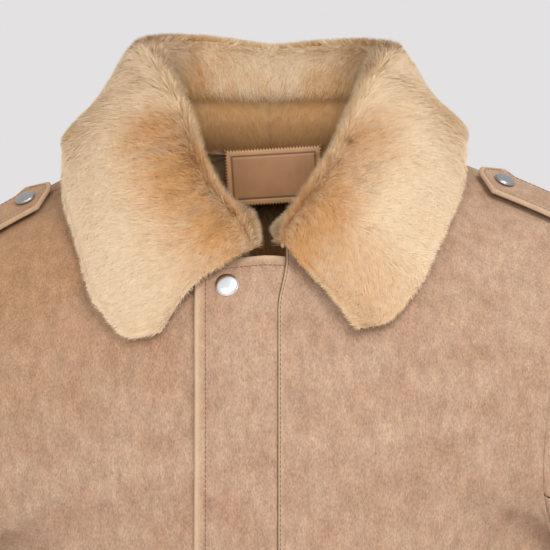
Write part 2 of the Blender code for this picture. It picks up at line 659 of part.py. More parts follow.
def over_shoulder(distances, seam_distances):
    """Points over the shoulder, at distances from the centre line and from the shoulder seam.

    A distance from the seam is measured over the cloth, and is positive towards the back.
    """
    front_rows = np.linspace(ROW_PIT + 0.5, FRONT_LINES[-1][0], PROFILE_POINTS)
    back_rows = np.linspace(BACK_LINES[-1][0], ROW_NAPE, PROFILE_POINTS)[1:]
    points = np.zeros((*seam_distances.shape, 3))
    for index in np.ndindex(distances.shape):
        front = line_at(FRONT_LINES, front_rows, distances[index])
        back = line_at(BACK_LINES, back_rows, distances[index])
        line = np.concatenate([front, back])
        length = np.concatenate([[0.0], np.cumsum(np.linalg.norm(np.diff(line, axis=0), axis=1))])
        length -= length[PROFILE_POINTS - 1]
        points[index] = [np.interp(seam_distances[index], length, line[:, k]) for k in range(3)]
    return points


def strap_grid(side, stations, columns):
    """Points on the shoulder under a strap, from its pointed end to the armhole."""
    width = np.linspace(-1.0, 1.0, columns)
    tip = STRAP_TIP[side] + STRAP_POINT * np.abs(width) + STRAP_SKEW * width
    armhole_end = np.interp(width, (-1.0, 1.0), (armhole_x(-STRAP_HALF_WIDTH), armhole_x(STRAP_HALF_WIDTH)))
    along = np.linspace(0.0, 1.0, stations)[:, None]
    distances = tip + (armhole_end - STRAP_END_GAP - tip) * along
    return over_shoulder(distances, np.tile(width * STRAP_HALF_WIDTH - STRAP_FORWARD, (stations, 1)))


def armhole_x(seam_distance):
    """Distance of the armhole from the centre line, near the shoulder seam."""
    lines, last = (BACK_LINES, BACK_LINES[-1][0]) if seam_distance > 0 else (FRONT_LINES, FRONT_LINES[-1][0])
    end = read_lines(lines, np.array([last - 1.0, last]))[1]
    share = abs(seam_distance) / np.linalg.norm(end[1] - end[0])
    return end[1, 0] + (end[0, 0] - end[1, 0]) * min(share, 1.0)


def build_straps(home):
    """A strap on each shoulder, sewn in at the armhole, with a snap near its point."""
    for side, name in ((1, "left"), (-1, "right")):
        base = strap_grid(side, STRAP_STATIONS, STRAP_COLUMNS)
        out = -normals(base)
        lower = base + out * (HIDE + STRAP_LIFT)
        face = base + out * (HIDE + STRAP_LIFT + STRAP_THICKNESS + STRAP_SNAP_GAP)
        if side < 0:
            lower, face, out = mirrored(lower), mirrored(face), mirrored(out)
        lower, face = settle(lower), settle(face)
        cloth(f"epaulette_{name}", [(lower, side > 0)], STRAP_THICKNESS, SUEDE, home)
        middle = STRAP_COLUMNS // 2
        along = np.abs(face[:, middle, 0]) - STRAP_TIP[side]
        place = [np.interp(STRAP_SNAP, along, face[:, middle, k]) for k in range(3)]
        facing = [np.interp(STRAP_SNAP, along, out[:, middle, k]) for k in range(3)]
        put_snap(f"snap_epaulette_{name}", (place, facing), STRAP_SNAP_RADIUS, home)


# Inside of the neck


def build_neck_inside(home):
    """The fur lining below the nape, and the leather label that hangs from the neck seam before it."""
    rows = table_rows(LINING_FIRST, LINING_LAST)
    columns = np.tile(np.linspace(0.0, 1.0, PANEL_COLUMNS)[:LINING_COLUMNS], (len(rows), 1))
    columns[rows >= ROW_NAPE, 0] = LINING_START
    half = body_grid(BACK_LINES, rows, columns)
    half = half + normals(half) * (LINING_GAP + LINING_PILE)
    half[rows < ROW_NAPE, 0, 0] = 0.0
    grids = [(settle(half), True), (settle(mirrored(half)), False)]
    cloth("back_lining", grids, LINING_PILE, FUR, home)

    u, v = np.meshgrid(np.linspace(-0.5, 0.5, LABEL_COLUMNS), np.linspace(-0.5, 0.5, LABEL_STATIONS))
    u, v = u * LABEL_WIDTH, v * LABEL_HEIGHT
    turn = math.radians(LABEL_TURN)
    face = np.stack([
        u * math.cos(turn) - v * math.sin(turn),
        LABEL_BOW * u**2 - LABEL_LEAN * v,
        u * math.sin(turn) + v * math.cos(turn),
    ], axis=-1)
    cloth("label", [(face + np.array(LABEL_MIDDLE), True)], LABEL_THICKNESS, LEATHER, home)


def main():
    """Builds the jacket."""
    home = clear_scene()
    build_fronts(home)
    build_back(home)
    build_fly(home)
    build_sleeves(home)
    build_collar(home)
    build_straps(home)
    build_neck_inside(home)


main()
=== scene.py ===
"""The looks of a suede jacket with a wide fur collar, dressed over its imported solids.

Metres, +Z up. The front faces -Y and the wearer's left is +X. The jacket is filled out as if worn,
with nobody in it. Each piece repeats the form of the solid that it stands for, only finer: the hide
gets soft creases, turned edges and stitches, and the pelt of the collar grows real strands of fur.
"""

import logging
import math
from dataclasses import dataclass, field, fields
from enum import Enum

import bpy
import numpy as np
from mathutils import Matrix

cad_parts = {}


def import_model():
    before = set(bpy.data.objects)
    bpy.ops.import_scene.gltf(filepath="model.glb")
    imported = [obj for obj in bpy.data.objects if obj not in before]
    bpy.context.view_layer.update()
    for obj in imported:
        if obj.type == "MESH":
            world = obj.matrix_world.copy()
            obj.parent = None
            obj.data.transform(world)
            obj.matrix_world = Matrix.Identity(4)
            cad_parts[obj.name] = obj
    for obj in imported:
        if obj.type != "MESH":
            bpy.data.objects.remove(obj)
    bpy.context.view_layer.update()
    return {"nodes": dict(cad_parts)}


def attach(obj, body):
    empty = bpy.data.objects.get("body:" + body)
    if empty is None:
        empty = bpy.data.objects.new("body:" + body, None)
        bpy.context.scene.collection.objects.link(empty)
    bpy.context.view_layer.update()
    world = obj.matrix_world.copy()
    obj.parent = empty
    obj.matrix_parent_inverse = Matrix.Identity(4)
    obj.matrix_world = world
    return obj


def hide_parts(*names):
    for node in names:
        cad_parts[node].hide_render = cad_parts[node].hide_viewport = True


Array = np.ndarray
LOG = logging.getLogger("jacket")
BODY = "root"  # the row has no joints, so all of it rides on one body


class Slot(Enum):
    """The record's material slots."""

    SUEDE = "suede"
    FUR = "fur"
    LEATHER = "smooth_leather"
    METAL = "polished_metal"


class Side(Enum):
    """The two sides of the jacket: the sign of X and the word in a piece's name."""

    LEFT = (1, "left")
    RIGHT = (-1, "right")

    @property
    def sign(self) -> int:
        """The sign of X on this side."""
        return self.value[0]

    @property
    def word(self) -> str:
        """The side's word in the names of pieces and nodes."""
        return self.value[1]


# Curves and grids of points


def curve(keys: Array, values: Array, at: Array) -> Array:
    """Smooth curves through the rows of tables, which don't overshoot where an outline turns.

    Between two keys it is a cubic whose end slopes are the harmonic means of the slopes beside
    them, or zero where those differ in sign.

    Args:
        keys: the K keys, rising.
        values: R tables of K rows and C columns.
        at: R rows of M places between the keys.

    Returns:
        R by M by C values.
    """
    keys, values, at = (np.asarray(x, float) for x in (keys, values, at))
    slope = np.diff(values, axis=1) / np.diff(keys)[:, None]
    before, after = slope[:, :-1], slope[:, 1:]
    same_way = before * after > 0
    inner = np.where(same_way, 2 * before * after / np.where(same_way, before + after, 1.0), 0.0)
    tangent = np.concatenate([slope[:, :1], inner, slope[:, -1:]], axis=1)
    i = np.clip(np.searchsorted(keys, at, side="right") - 1, 0, len(keys) - 2)
    row = np.arange(len(values))[:, None]
    step = (keys[i + 1] - keys[i])[..., None]
    t = (at - keys[i])[..., None] / step
    start = (1 + 2 * t) * (1 - t) ** 2 * values[row, i] + t * (1 - t) ** 2 * step * tangent[row, i]
    end = t * t * (3 - 2 * t) * values[row, i + 1] + t * t * (t - 1) * step * tangent[row, i + 1]
    return start + end


def smooth_table(keys: Array, values: Array, at: Array) -> Array:
    """One smooth curve through the rows of one table."""
    return curve(keys, np.asarray(values, float)[None], np.asarray(at, float)[None])[0]


def ease(x: Array) -> Array:
    """0 to 1 with a soft start and end: 3x^2 - 2x^3."""
    x = np.clip(x, 0.0, 1.0)
    return x * x * (3 - 2 * x)


def bump(x: Array, middle: float, half_width: float) -> Array:
    """A soft hump, 1 in its middle: the bell curve exp(-((x - middle) / half_width)^2)."""
    return np.exp(-(((x - middle) / half_width) ** 2))


def unit(vectors: Array) -> Array:
    """The same directions, of length 1."""
    return vectors / np.maximum(np.linalg.norm(vectors, axis=-1, keepdims=True), 1e-12)


def normals(points: Array) -> Array:
    """Unit normals of a grid: along a row of points crossed with along a column."""
    return unit(np.cross(np.gradient(points, axis=1), np.gradient(points, axis=0)))


def mirrored(points: Array) -> Array:
    """The same points on the other side of the centre line."""
    return points * np.array([-1.0, 1.0, 1.0])


def arc(points: Array, axis: int) -> Array:
    """Length along a grid from its first line of points, over the surface.

    Args:
        points: the grid.
        axis: 0 to go from row to row, 1 from column to column.

    Returns:
        A length for each point.
    """
    step = np.linalg.norm(np.diff(points, axis=axis), axis=2)
    start = np.zeros_like(step.take([0], axis=axis))
    return np.cumsum(np.concatenate([start, step], axis=axis), axis=axis)


def length_along(path: Array) -> Array:
    """Length along a path of points from its start."""
    return np.concatenate([[0.0], np.cumsum(np.linalg.norm(np.diff(path, axis=0), axis=1))])


def read_along(length: Array, numbers: Array, at: Array) -> Array:
    """Rows of numbers along a path at distances from its start, straight between its points."""
    return np.stack([np.interp(at, length, column) for column in numbers.T], axis=-1)


def edge_distance(points: Array) -> tuple[Array, Array, Array, Array]:
    """Distances over the surface to the first row, last row, first column and last column."""
    down, across = arc(points, 0), arc(points, 1)
    return down, down[-1:] - down, across, across[:, -1:] - across


def spaced(total: float, marks: tuple[float, ...], step: float) -> Array:
    """Shares of a length, close together near both of its ends and evenly spaced between.

    Args:
        total: the length in metres.
        marks: distances from an end at which a share lies, rising from 0.
        step: the even spacing beyond the last mark.

    Returns:
        The shares, from 0 to 1.
    """
    near = np.array(marks) / total
    count = max(int(round((1 - 2 * near[-1]) * total / step)), 1)
    return np.concatenate([near[:-1], np.linspace(near[-1], 1 - near[-1], count + 1), 1 - near[-2::-1]])


def value_noise(x: Array, y: Array, cell: float, seed: int) -> Array:
    """Smooth random values between -1 and 1 over a plane.

    Random values at the corners of square cells, eased from one to the next.

    Args:
        x, y: places in metres.
        cell: the side of a cell.
        seed: which set of random values.

    Returns:
        A value for each place.
    """
    u, v = (x - x.min()) / cell, (y - y.min()) / cell
    i, j = u.astype(int), v.astype(int)
    corner = np.random.default_rng(seed).uniform(-1, 1, (i.max() + 2, j.max() + 2))
    s, t = ease(u - i), ease(v - j)
    low = corner[i, j] * (1 - s) + corner[i + 1, j] * s
    high = corner[i, j + 1] * (1 - s) + corner[i + 1, j + 1] * s
    return low * (1 - t) + high * t


# Meshes


def add_mesh(name: str, points: Array, faces: list[Array], materials: list, shown: Array | None = None,
             values: dict[str, Array] | None = None, shading: Array | None = None) -> bpy.types.Object:
    """An object with smooth shading from arrays of points and faces.

    Args:
        name: the piece's name.
        points: N by 3.
        faces: arrays of faces, each with one row a face, of three or four corners.
        materials: its materials.
        shown: which material each face has.
        values: named numbers for each point, which materials read.
        shading: directions in which each point is shaded, where its faces don't say it well.

    Returns:
        The object, linked to the scene.
    """
    mesh = bpy.data.meshes.new(name)
    mesh.vertices.add(len(points))
    mesh.vertices.foreach_set("co", np.ascontiguousarray(points, np.float32).ravel())
    corners = np.concatenate([f.ravel() for f in faces]).astype(np.int32)
    sizes = np.concatenate([np.full(len(f), f.shape[1]) for f in faces])
    mesh.loops.add(len(corners))
    mesh.loops.foreach_set("vertex_index", corners)
    mesh.polygons.add(len(sizes))
    mesh.polygons.foreach_set("loop_start", np.concatenate([[0], np.cumsum(sizes)[:-1]]).astype(np.int32))
    for material in materials:
        mesh.materials.append(material)
    if shown is not None:
        mesh.polygons.foreach_set("material_index", shown.astype(np.int32))
    for key, numbers in (values or {}).items():
        made = mesh.attributes.new(key, "FLOAT", "POINT")
        made.data.foreach_set("value", np.ascontiguousarray(numbers, np.float32).ravel())
    mesh.update(calc_edges=True)
    mesh.shade_smooth()
    if shading is not None:
        mesh.normals_split_custom_set_from_vertices(shading.tolist())
    piece = bpy.data.objects.new(name, mesh)
    bpy.context.scene.collection.objects.link(piece)
    return piece


def grid_quads(rows: int, columns: int, turned: bool, first: int = 0) -> Array:
    """The quads of a grid of points, which face as its normals do unless turned.

    Args:
        rows, columns: the size of the grid.
        turned: whether they face the other way.
        first: the number of the grid's first point.

    Returns:
        One row of four point numbers a quad.
    """
    corner = first + (np.arange(rows - 1)[:, None] * columns + np.arange(columns - 1)).ravel()
    quads = np.stack([corner, corner + 1, corner + columns + 1, corner + columns], axis=1)
    return quads[:, ::-1] if turned else quads


def ring_quads(rings: int, sides: int) -> Array:
    """The quads between rings of points.

    Args:
        rings: how many rings there are.
        sides: how many points each of them has.

    Returns:
        One row of four point numbers a quad.
    """
    i, j = np.arange(rings - 1)[:, None] * sides, np.arange(sides)
    k = (j + 1) % sides
    return np.stack([i + j, i + k, i + sides + k, i + sides + j], axis=-1).reshape(-1, 4)


def dress(piece: bpy.types.Object, slot: Slot, *nodes: str) -> bpy.types.Object:
    """Lets a piece ride on the body and hides the solids' nodes that it stands for.

    Args:
        piece: the piece.
        slot: its material slot; not used.
        nodes: the solids' nodes that it stands for.

    Returns:
        The piece.
    """
    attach(piece, BODY)
    if nodes:
        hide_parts(*nodes)
    LOG.info("%s: %d faces", piece.name, len(piece.data.polygons))
    return piece


@dataclass
class Wall:
    """A wall of cloth with an inner and an outer face and a closed rim, made of one or more grids.

    Grids that share an edge are welded there, and the wall is closed round what stays open.
    """

    inner: list[Array] = field(default_factory=list)
    outer: list[Array] = field(default_factory=list)
    quads: list[Array] = field(default_factory=list)
    values: dict[str, list[Array]] = field(default_factory=dict)
    area: float = 0.0
    weld: float = 0.0001

    def add(self, inner: Array, outer: Array, turned: bool, **values: Array) -> "Wall":
        """Adds a pair of grids.

        Args:
            inner: points of the inner face.
            outer: points of the outer face, in the same order.
            turned: whether the outer face looks against the grid's normals.
            values: named numbers for each point.

        Returns:
            The wall itself.
        """
        first = sum(len(x) for x in self.inner)
        rows, columns = inner.shape[:2]
        self.quads.append(grid_quads(rows, columns, turned, first))
        self.inner.append(inner.reshape(-1, 3))
        self.outer.append(outer.reshape(-1, 3))
        for key, numbers in values.items():
            self.values.setdefault(key, []).append(np.broadcast_to(numbers, (rows, columns)).ravel())
        middle = (inner + outer) / 2
        a, b = np.diff(middle, axis=0)[:, :-1], np.diff(middle, axis=1)[:-1]
        self.area += float(np.linalg.norm(np.cross(a, b), axis=2).sum())
        return self

    def build(self, name: str, outside: bpy.types.Material, inside: bpy.types.Material) -> bpy.types.Object:
        """The closed wall as an object.

        Args:
            name: the piece's name.
            outside: material of the outer face and the rim.
            inside: material of the inner face.

        Returns:
            The object.
        """
        inner, outer, quads = (np.concatenate(x) for x in (self.inner, self.outer, self.quads))
        _, first, same = np.unique(
            np.round(inner / self.weld).astype(np.int64), axis=0, return_index=True, return_inverse=True
        )
        same = same.ravel()
        count = np.bincount(same).astype(float)

        def shared(numbers: Array) -> Array:
            """Mean of a number over the points that were welded."""
            return np.bincount(same, weights=numbers) / count

        inner, outer = (np.stack([shared(x[:, k]) for k in range(3)], axis=1) for x in (inner, outer))
        quads = same[quads]
        n = len(first)
        start, end = quads.ravel(), np.roll(quads, -1, axis=1).ravel()
        open_edge = ~np.isin(start * n + end, end * n + start)
        a, b = start[open_edge], end[open_edge]
        rim = np.stack([b, a, a + n, b + n], axis=1)
        faces = np.concatenate([quads, quads[:, ::-1] + n, rim])
        shown = np.concatenate([np.zeros(len(quads)), np.ones(len(quads)), np.zeros(len(rim))])
        values = {key: np.tile(shared(np.concatenate(x)), 2) for key, x in self.values.items()}
        points = np.concatenate([outer, inner])
        return add_mesh(name, points, [faces], [outside, inside], shown, values)


def turned_edge(points: Array, edges: str, radius: float, least: float) -> Array:
    """Share of its thickness that cloth has near its edges, where it rounds off.

    A quarter of a circle: the square root of 1 - (1 - d / radius)^2 at a distance d from an edge.

    Args:
        points: the grid of the cloth.
        edges: which edges round off, of t, b, l and r: first row, last row, first and last column.
        radius: how far from the edge it begins.
        least: the share that is left at the edge itself.

    Returns:
        The share at each point.
    """
    share = np.ones(points.shape[:2])
    for letter, distance in zip("tblr", edge_distance(points)):
        if letter in edges:
            gone = 1 - np.clip(distance / radius, 0, 1)
            share = np.minimum(share, np.sqrt(1 - gone**2) * (1 - least) + least)
    return share


def crease(x: Array, y: Array, table: tuple[tuple[float, ...], ...]) -> Array:
    """Soft creases: each is a trough or ridge along a straight line, which fades out at both ends.

    Its height is depth times exp(-(d / width)^2), where d is the distance to the line.

    Args:
        x, y: places over the cloth in metres.
        table: rows of start x, start y, end x, end y, half width, height.

    Returns:
        The height at each place.
    """
    total = np.zeros(x.shape)
    for x0, y0, x1, y1, width, height in table:
        dx, dy = x1 - x0, y1 - y0
        t = np.clip(((x - x0) * dx + (y - y0) * dy) / (dx * dx + dy * dy), 0, 1)
        d = np.hypot(x - x0 - t * dx, y - y0 - t * dy)
        total += height * np.exp(-((d / width) ** 2)) * (0.35 + 0.65 * np.sin(math.pi * t))
    return total


# Finishes


def linear(code: str) -> tuple[float, float, float, float]:
    """A colour given as sRGB hex, as the linear RGBA that shaders take."""
    parts = (int(code[i : i + 2], 16) / 255 for i in (1, 3, 5))
    return (*(c / 12.92 if c <= 0.04045 else ((c + 0.055) / 1.055) ** 2.4 for c in parts), 1.0)


Source = tuple[bpy.types.Node, int | str]  # a node and the name or number of one of its outputs


def add_node(tree: bpy.types.NodeTree, kind: str, settings: dict, links: dict) -> bpy.types.Node:
    """Adds a node to a material.

    Args:
        tree: the material's nodes.
        kind: the node's type.
        settings: values by the name of an option, or by the name or number of an input.
        links: (node, output) by the name or number of an input.

    Returns:
        The node.
    """
    node = tree.nodes.new(kind)
    for key, value in settings.items():
        if isinstance(key, str) and hasattr(node, key):
            setattr(node, key, value)
        else:
            node.inputs[key].default_value = value
    for key, (source, output) in links.items():
        tree.links.new(source.outputs[output], node.inputs[key])
    return node


class Recipe:
    """A new node material, built up step by step. Each step gives a source that later steps take."""

    def __init__(self, name: str) -> None:
        """Makes the material, with a Principled shader and the object's own coordinates.

        Args:
            name: the finish's name.
        """
        self.material = bpy.data.materials.new(name)
        self.material.use_nodes = True
        self.tree = self.material.node_tree
        self.shader = self.tree.nodes["Principled BSDF"]
        self.place: Source = (add_node(self.tree, "ShaderNodeTexCoord", {}, {}), "Object")

    def attribute(self, name: str) -> Source:
        """The numbers of this name that the points carry."""
        return add_node(self.tree, "ShaderNodeAttribute", {"attribute_name": name}, {}), "Fac"

    def moved(self, location: tuple[float, ...], scale: tuple[float, ...]) -> Source:
        """Object coordinates times a scale, plus a location."""
        settings = {"Location": location, "Scale": scale}
        return add_node(self.tree, "ShaderNodeMapping", settings, {0: self.place}), 0

    def noise(self, millimetres: float, detail: float, roughness: float = 0.5,
              at: Source | None = None) -> Source:
        """Noise whose spots are this many millimetres apart."""
        settings = {"Scale": 1000 / millimetres, "Detail": detail, "Roughness": roughness}
        return add_node(self.tree, "ShaderNodeTexNoise", settings, {"Vector": at or self.place}), 0

    def remap(self, value: Source, start: tuple[float, float], end: tuple[float, float]) -> Source:
        """A value carried from one range to another, and held at its ends."""
        settings = {1: start[0], 2: start[1], 3: end[0], 4: end[1]}
        return add_node(self.tree, "ShaderNodeMapRange", settings, {0: value}), 0

    def ramp(self, value: Source, *stops: tuple[float, str]) -> Source:
        """A colour from a ramp whose stops are a place and an sRGB hex colour each.

        Args:
            value: what the ramp is read at.
            stops: places and colours, rising.

        Returns:
            The colour.
        """
        node = add_node(self.tree, "ShaderNodeValToRGB", {}, {0: value})
        for element, (place, code) in zip(node.color_ramp.elements, (stops[0], stops[-1])):
            element.position, element.color = place, linear(code)
        for place, code in stops[1:-1]:
            node.color_ramp.elements.new(place).color = linear(code)
        return node, 0

    def mix(self, share: Source, *colours: Source | str) -> Source:
        """The first colour turning into the second, each a source or an sRGB hex colour.

        Args:
            share: how much of the second there is.
            colours: the first and the second.

        Returns:
            The colour.
        """
        fixed = {i: linear(colour) for i, colour in enumerate(colours, 6) if isinstance(colour, str)}
        linked = {i: colour for i, colour in enumerate(colours, 6) if i not in fixed}
        return add_node(self.tree, "ShaderNodeMix", {"data_type": "RGBA", **fixed}, {0: share, **linked}), 2

    def maths(self, operation: str, *values: Source) -> Source:
        """A sum or a product of two values."""
        return add_node(self.tree, "ShaderNodeMath", {"operation": operation}, dict(enumerate(values))), 0

    def scaled(self, colour: Source | str, factor: Source) -> Source:
        """A colour made lighter or darker by a factor.

        Args:
            colour: a source or an sRGB hex colour.
            factor: what it is multiplied by.

        Returns:
            The colour.
        """
        fixed = {0: linear(colour)[:3]} if isinstance(colour, str) else {}
        linked = {3: factor} if fixed else {0: colour, 3: factor}
        return add_node(self.tree, "ShaderNodeVectorMath", {"operation": "SCALE", **fixed}, linked), 0

    def paint(self, **inputs: Source | float | tuple) -> None:
        """Sets inputs of the shader, each to a source or a constant, with _ for each space of its name."""
        for key, value in inputs.items():
            socket = self.shader.inputs[key.replace("_", " ")]
            if isinstance(value, tuple) and isinstance(value[0], bpy.types.Node):
                self.tree.links.new(value[0].outputs[value[1]], socket)
            else:
                socket.default_value = value

    def relief(self, height: Source, strength: float, distance: float) -> None:
        """Fine relief of this height in metres, too small to be worth faces."""
        settings = {"Strength": strength, "Distance": distance}
        self.paint(Normal=(add_node(self.tree, "ShaderNodeBump", settings, {"Height": height}), 0))


@dataclass(frozen=True)
class Suede:
    """Calf suede, split and napped, dyed tan.

    The nap gives a soft, fully matt face with a faint pale sheen. It is clouded where it has been
    brushed one way or the other, and paler where an edge is turned and worn. Beside the wearer's
    right shoulder, below the collar, it is painted darker and browner: a painted shade.
    """

    deep: str = "#9e7d65"
    middle: str = "#a68871"
    pale: str = "#ad9179"
    rosy: str = "#a27b60"
    # painted shade: the darker, browner tone laid over a zone below the collar at the wearer's right
    # shoulder, centred and sized by the next two fields
    tan: str = "#98724f"
    shade_middle: tuple[float, float, float] = (-0.1793, -0.1000, -0.0621)
    shade_radii: tuple[float, float, float] = (0.1724, 0.2222, 0.1724)
    worn: str = "#cbb090"
    cloud_mm: float = 28.0
    rose_mm: float = 17.36
    patch_mm: float = 7.0
    nap_mm: float = 1.1  # real nap is finer, drawn as coarse as it needs to show
    nap_stretch: float = 0.45
    relief: float = 0.0006
    roughness: float = 0.95
    sheen: float = 0.20
    sheen_tint: str = "#f2dcc4"

    def material(self) -> bpy.types.Material:
        """The finish as a material.

        Returns:
            The material: three tones of cloud, then the rosy zone and the painted shade below the
            collar at the right shoulder, then the light and dark of patches and nap, then the worn edges.
        """
        make = Recipe("tan_calf_suede")
        brushed = make.moved((0.0, 0.0, 0.0), (1.0, 1.0, self.nap_stretch))
        patch = make.noise(self.patch_mm, 4.0, 0.6, brushed)
        nap = make.noise(self.nap_mm, 3.0, 0.7, brushed)
        cloud = make.noise(self.cloud_mm, 5.0, 0.62)
        base = make.ramp(cloud, (0.30, self.deep), (0.50, self.middle), (0.70, self.pale))
        rose = make.noise(self.rose_mm, 3.0, at=make.moved((3.1, 1.7, 0.4), (1.0, 1.0, 1.0)))
        rosy = make.mix(make.remap(rose, (0.50, 0.75), (0.0, 0.28)), base, self.rosy)
        # painted shade: a spherical zone below the collar at the right shoulder turns the colour towards the
        # darker tone
        scale = tuple(1 / radius for radius in self.shade_radii)
        centred = make.moved(tuple(-x * k for x, k in zip(self.shade_middle, scale)), scale)
        zone = add_node(make.tree, "ShaderNodeTexGradient", {"gradient_type": "SPHERICAL"}, {0: centred})
        with_painted_shade = make.mix((zone, 1), rosy, self.tan)
        patches = make.remap(patch, (0.25, 0.75), (0.82, 1.17))
        grain = make.remap(nap, (0.25, 0.75), (0.66, 1.32))
        shaded = make.scaled(with_painted_shade, make.maths("MULTIPLY", patches, grain))
        make.paint(
            Base_Color=make.mix(make.attribute("edge"), shaded, self.worn), Roughness=self.roughness,
            Sheen_Weight=self.sheen, Sheen_Roughness=0.5, Sheen_Tint=linear(self.sheen_tint),
            Specular_IOR_Level=0.12,
        )
        make.relief(make.maths("ADD", nap, patch), 0.28, self.relief)
        return make.material


@dataclass(frozen=True)
class ShornInside:
    """The inside of the hide, its wool shorn to a short felt-like pile: dull, woolly and matt."""

    dark: str = "#6f553e"
    light: str = "#97795a"
    tuft_mm: float = 3.0
    relief: float = 0.0012
    roughness: float = 1.0

    def material(self) -> bpy.types.Material:
        """The finish as a material.

        Returns:
            The material: one noise gives both the two tones and the height of the tufts.
        """
        make = Recipe("shorn_wool_inside")
        tuft = make.noise(self.tuft_mm, 5.0, 0.7)
        make.paint(Base_Color=make.ramp(tuft, (0.32, self.dark), (0.68, self.light)),
                   Roughness=self.roughness, Specular_IOR_Level=0.1)
        make.relief(tuft, 0.7, self.relief)
        return make.material


@dataclass(frozen=True)
class Fur:
    """Dense, soft fur, cream with honey-coloured zones, which lets a little light through.

    A strand is darkest at its root. The point attributes say how warm its tone is, how deep the fur
    is shaded, how far along the strand a point lies and the strand's own chance shade. The shade is
    painted shade, and in the honey band of the collar also darker locks of the fur.
    """

    name: str
    cream_root: str
    cream_tip: str
    warm_root: str
    warm_tip: str
    # deep: the tone towards which painted shade darkens the fur
    deep: str
    roughness: float = 0.62
    sheen: float = 0.10
    sheen_tint: str = "#fff0dc"
    through: float = 0.20

    def material(self) -> bpy.types.Material:
        """The finish as a material.

        Returns:
            The material: cream into honey by `warm`, into the deep tone by `shade`, lighter or
            darker by `own`, with a share of light passing through. `shade` paints shade into the colour.
        """
        make = Recipe(self.name)
        along, warm, own, shade = (make.attribute(name) for name in ("along", "warm", "own", "shade"))
        cream = make.ramp(along, (0.0, self.cream_root), (0.75, self.cream_tip))
        honey = make.ramp(along, (0.0, self.warm_root), (0.85, self.warm_tip))
        deep = make.mix(shade, make.mix(warm, cream, honey), self.deep)
        colour = make.scaled(deep, make.remap(own, (0.0, 1.0), (0.88, 1.08)))
        make.paint(Base_Color=colour, Roughness=self.roughness, Specular_IOR_Level=0.12,
                   Sheen_Weight=self.sheen, Sheen_Tint=linear(self.sheen_tint))
        behind = add_node(make.tree, "ShaderNodeBsdfTranslucent", {}, {"Color": colour})
        links = {1: (make.shader, 0), 2: (behind, 0)}
        both = add_node(make.tree, "ShaderNodeMixShader", {0: self.through}, links)
        last = next(node for node in make.tree.nodes if node.type == "OUTPUT_MATERIAL")
        make.tree.links.new(both.outputs[0], last.inputs["Surface"])
        return make.material


@dataclass(frozen=True)
class SmoothLeather:
    """Vegetable-tanned leather of the neck label: close satin grain, darker where it is pressed."""

    face: str = "#a97950"
    pressed: str = "#6a4223"
    border: str = "#b98b5f"
    grain_mm: float = 1.1
    cloud_mm: float = 14.0
    relief: float = 0.0002
    roughness: float = 0.42

    def material(self) -> bpy.types.Material:
        """The finish as a material.

        Returns:
            The material: face and border, then the pressed line, then soft clouds.
        """
        make = Recipe("vegetable_tanned_leather")
        plain = make.mix(make.attribute("border"), self.face, self.border)
        marked = make.mix(make.attribute("pressed"), plain, self.pressed)
        tone = make.remap(make.noise(self.cloud_mm, 3.0), (0.3, 0.7), (0.92, 1.07))
        make.paint(Base_Color=make.scaled(marked, tone), Roughness=self.roughness)
        make.relief(make.noise(self.grain_mm, 4.0, 0.6), 0.18, self.relief)
        return make.material


@dataclass(frozen=True)
class Nickel:
    """Nickel-plated brass of the snap caps: pale metal with the finest hairlines."""

    name: str = "polished_nickel"
    colour: str = "#f1f3f5"
    roughness: float = 0.20
    hairline_mm: float = 0.6

    def material(self) -> bpy.types.Material:
        """The finish as a material.

        Returns:
            The material: its roughness alone goes up and down with the hairlines.
        """
        make = Recipe(self.name)
        ends = (self.roughness * 0.8, self.roughness * 1.3)
        rough = make.remap(make.noise(self.hairline_mm, 2.0), (0.3, 0.7), ends)
        make.paint(Roughness=rough, Base_Color=linear(self.colour), Metallic=1.0)
        return make.material


@dataclass(frozen=True)
class Plain:
    """A finish of one colour with a fine weave or twist over it, such as thread, tape or a painted floor."""

    name: str
    colour: str
    grain_mm: float = 0.5
    contrast: float = 0.10
    roughness: float = 0.85

    def material(self) -> bpy.types.Material:
        """The finish as a material.

        Returns:
            The material: its one colour, lighter and darker by the contrast.
        """
        make = Recipe(self.name)
        tone = make.remap(make.noise(self.grain_mm, 2.0), (0.3, 0.7), (1 - self.contrast, 1 + self.contrast))
        make.paint(Base_Color=make.scaled(self.colour, tone), Roughness=self.roughness)
        return make.material


@dataclass
class Finishes:
    """Every finish of the jacket, made once."""

    suede: bpy.types.Material = field(default_factory=lambda: Suede().material())
    inside: bpy.types.Material = field(default_factory=lambda: ShornInside().material())
    collar_fur: bpy.types.Material = field(default_factory=lambda: Fur(
        "collar_fur", "#e8caa0", "#fbe9cb", "#c28c4e", "#ecbd82", "#7d5226").material())
    lining_fur: bpy.types.Material = field(default_factory=lambda: Fur(
        "lining_fur", "#d8ab78", "#ffdfb4", "#8c6038", "#cf9a5e", "#5a3f24").material())
    leather: bpy.types.Material = field(default_factory=lambda: SmoothLeather().material())
    nickel: bpy.types.Material = field(default_factory=lambda: Nickel().material())
    # painted reflection: the strap snaps' nickel is rougher and painted darker grey, for the darker
    # surroundings that it reflects
    dull_nickel: bpy.types.Material = field(
        default_factory=lambda: Nickel("dulled_nickel_painted_dark", "#a4a6a6", 0.34).material())
    thread: bpy.types.Material = field(
        default_factory=lambda: Plain("tan_polyester_thread", "#80604a").material())
    tape: bpy.types.Material = field(
        default_factory=lambda: Plain("beige_cotton_tape", "#c4b291", 0.8, 0.12, 0.9).material())


# Stitches


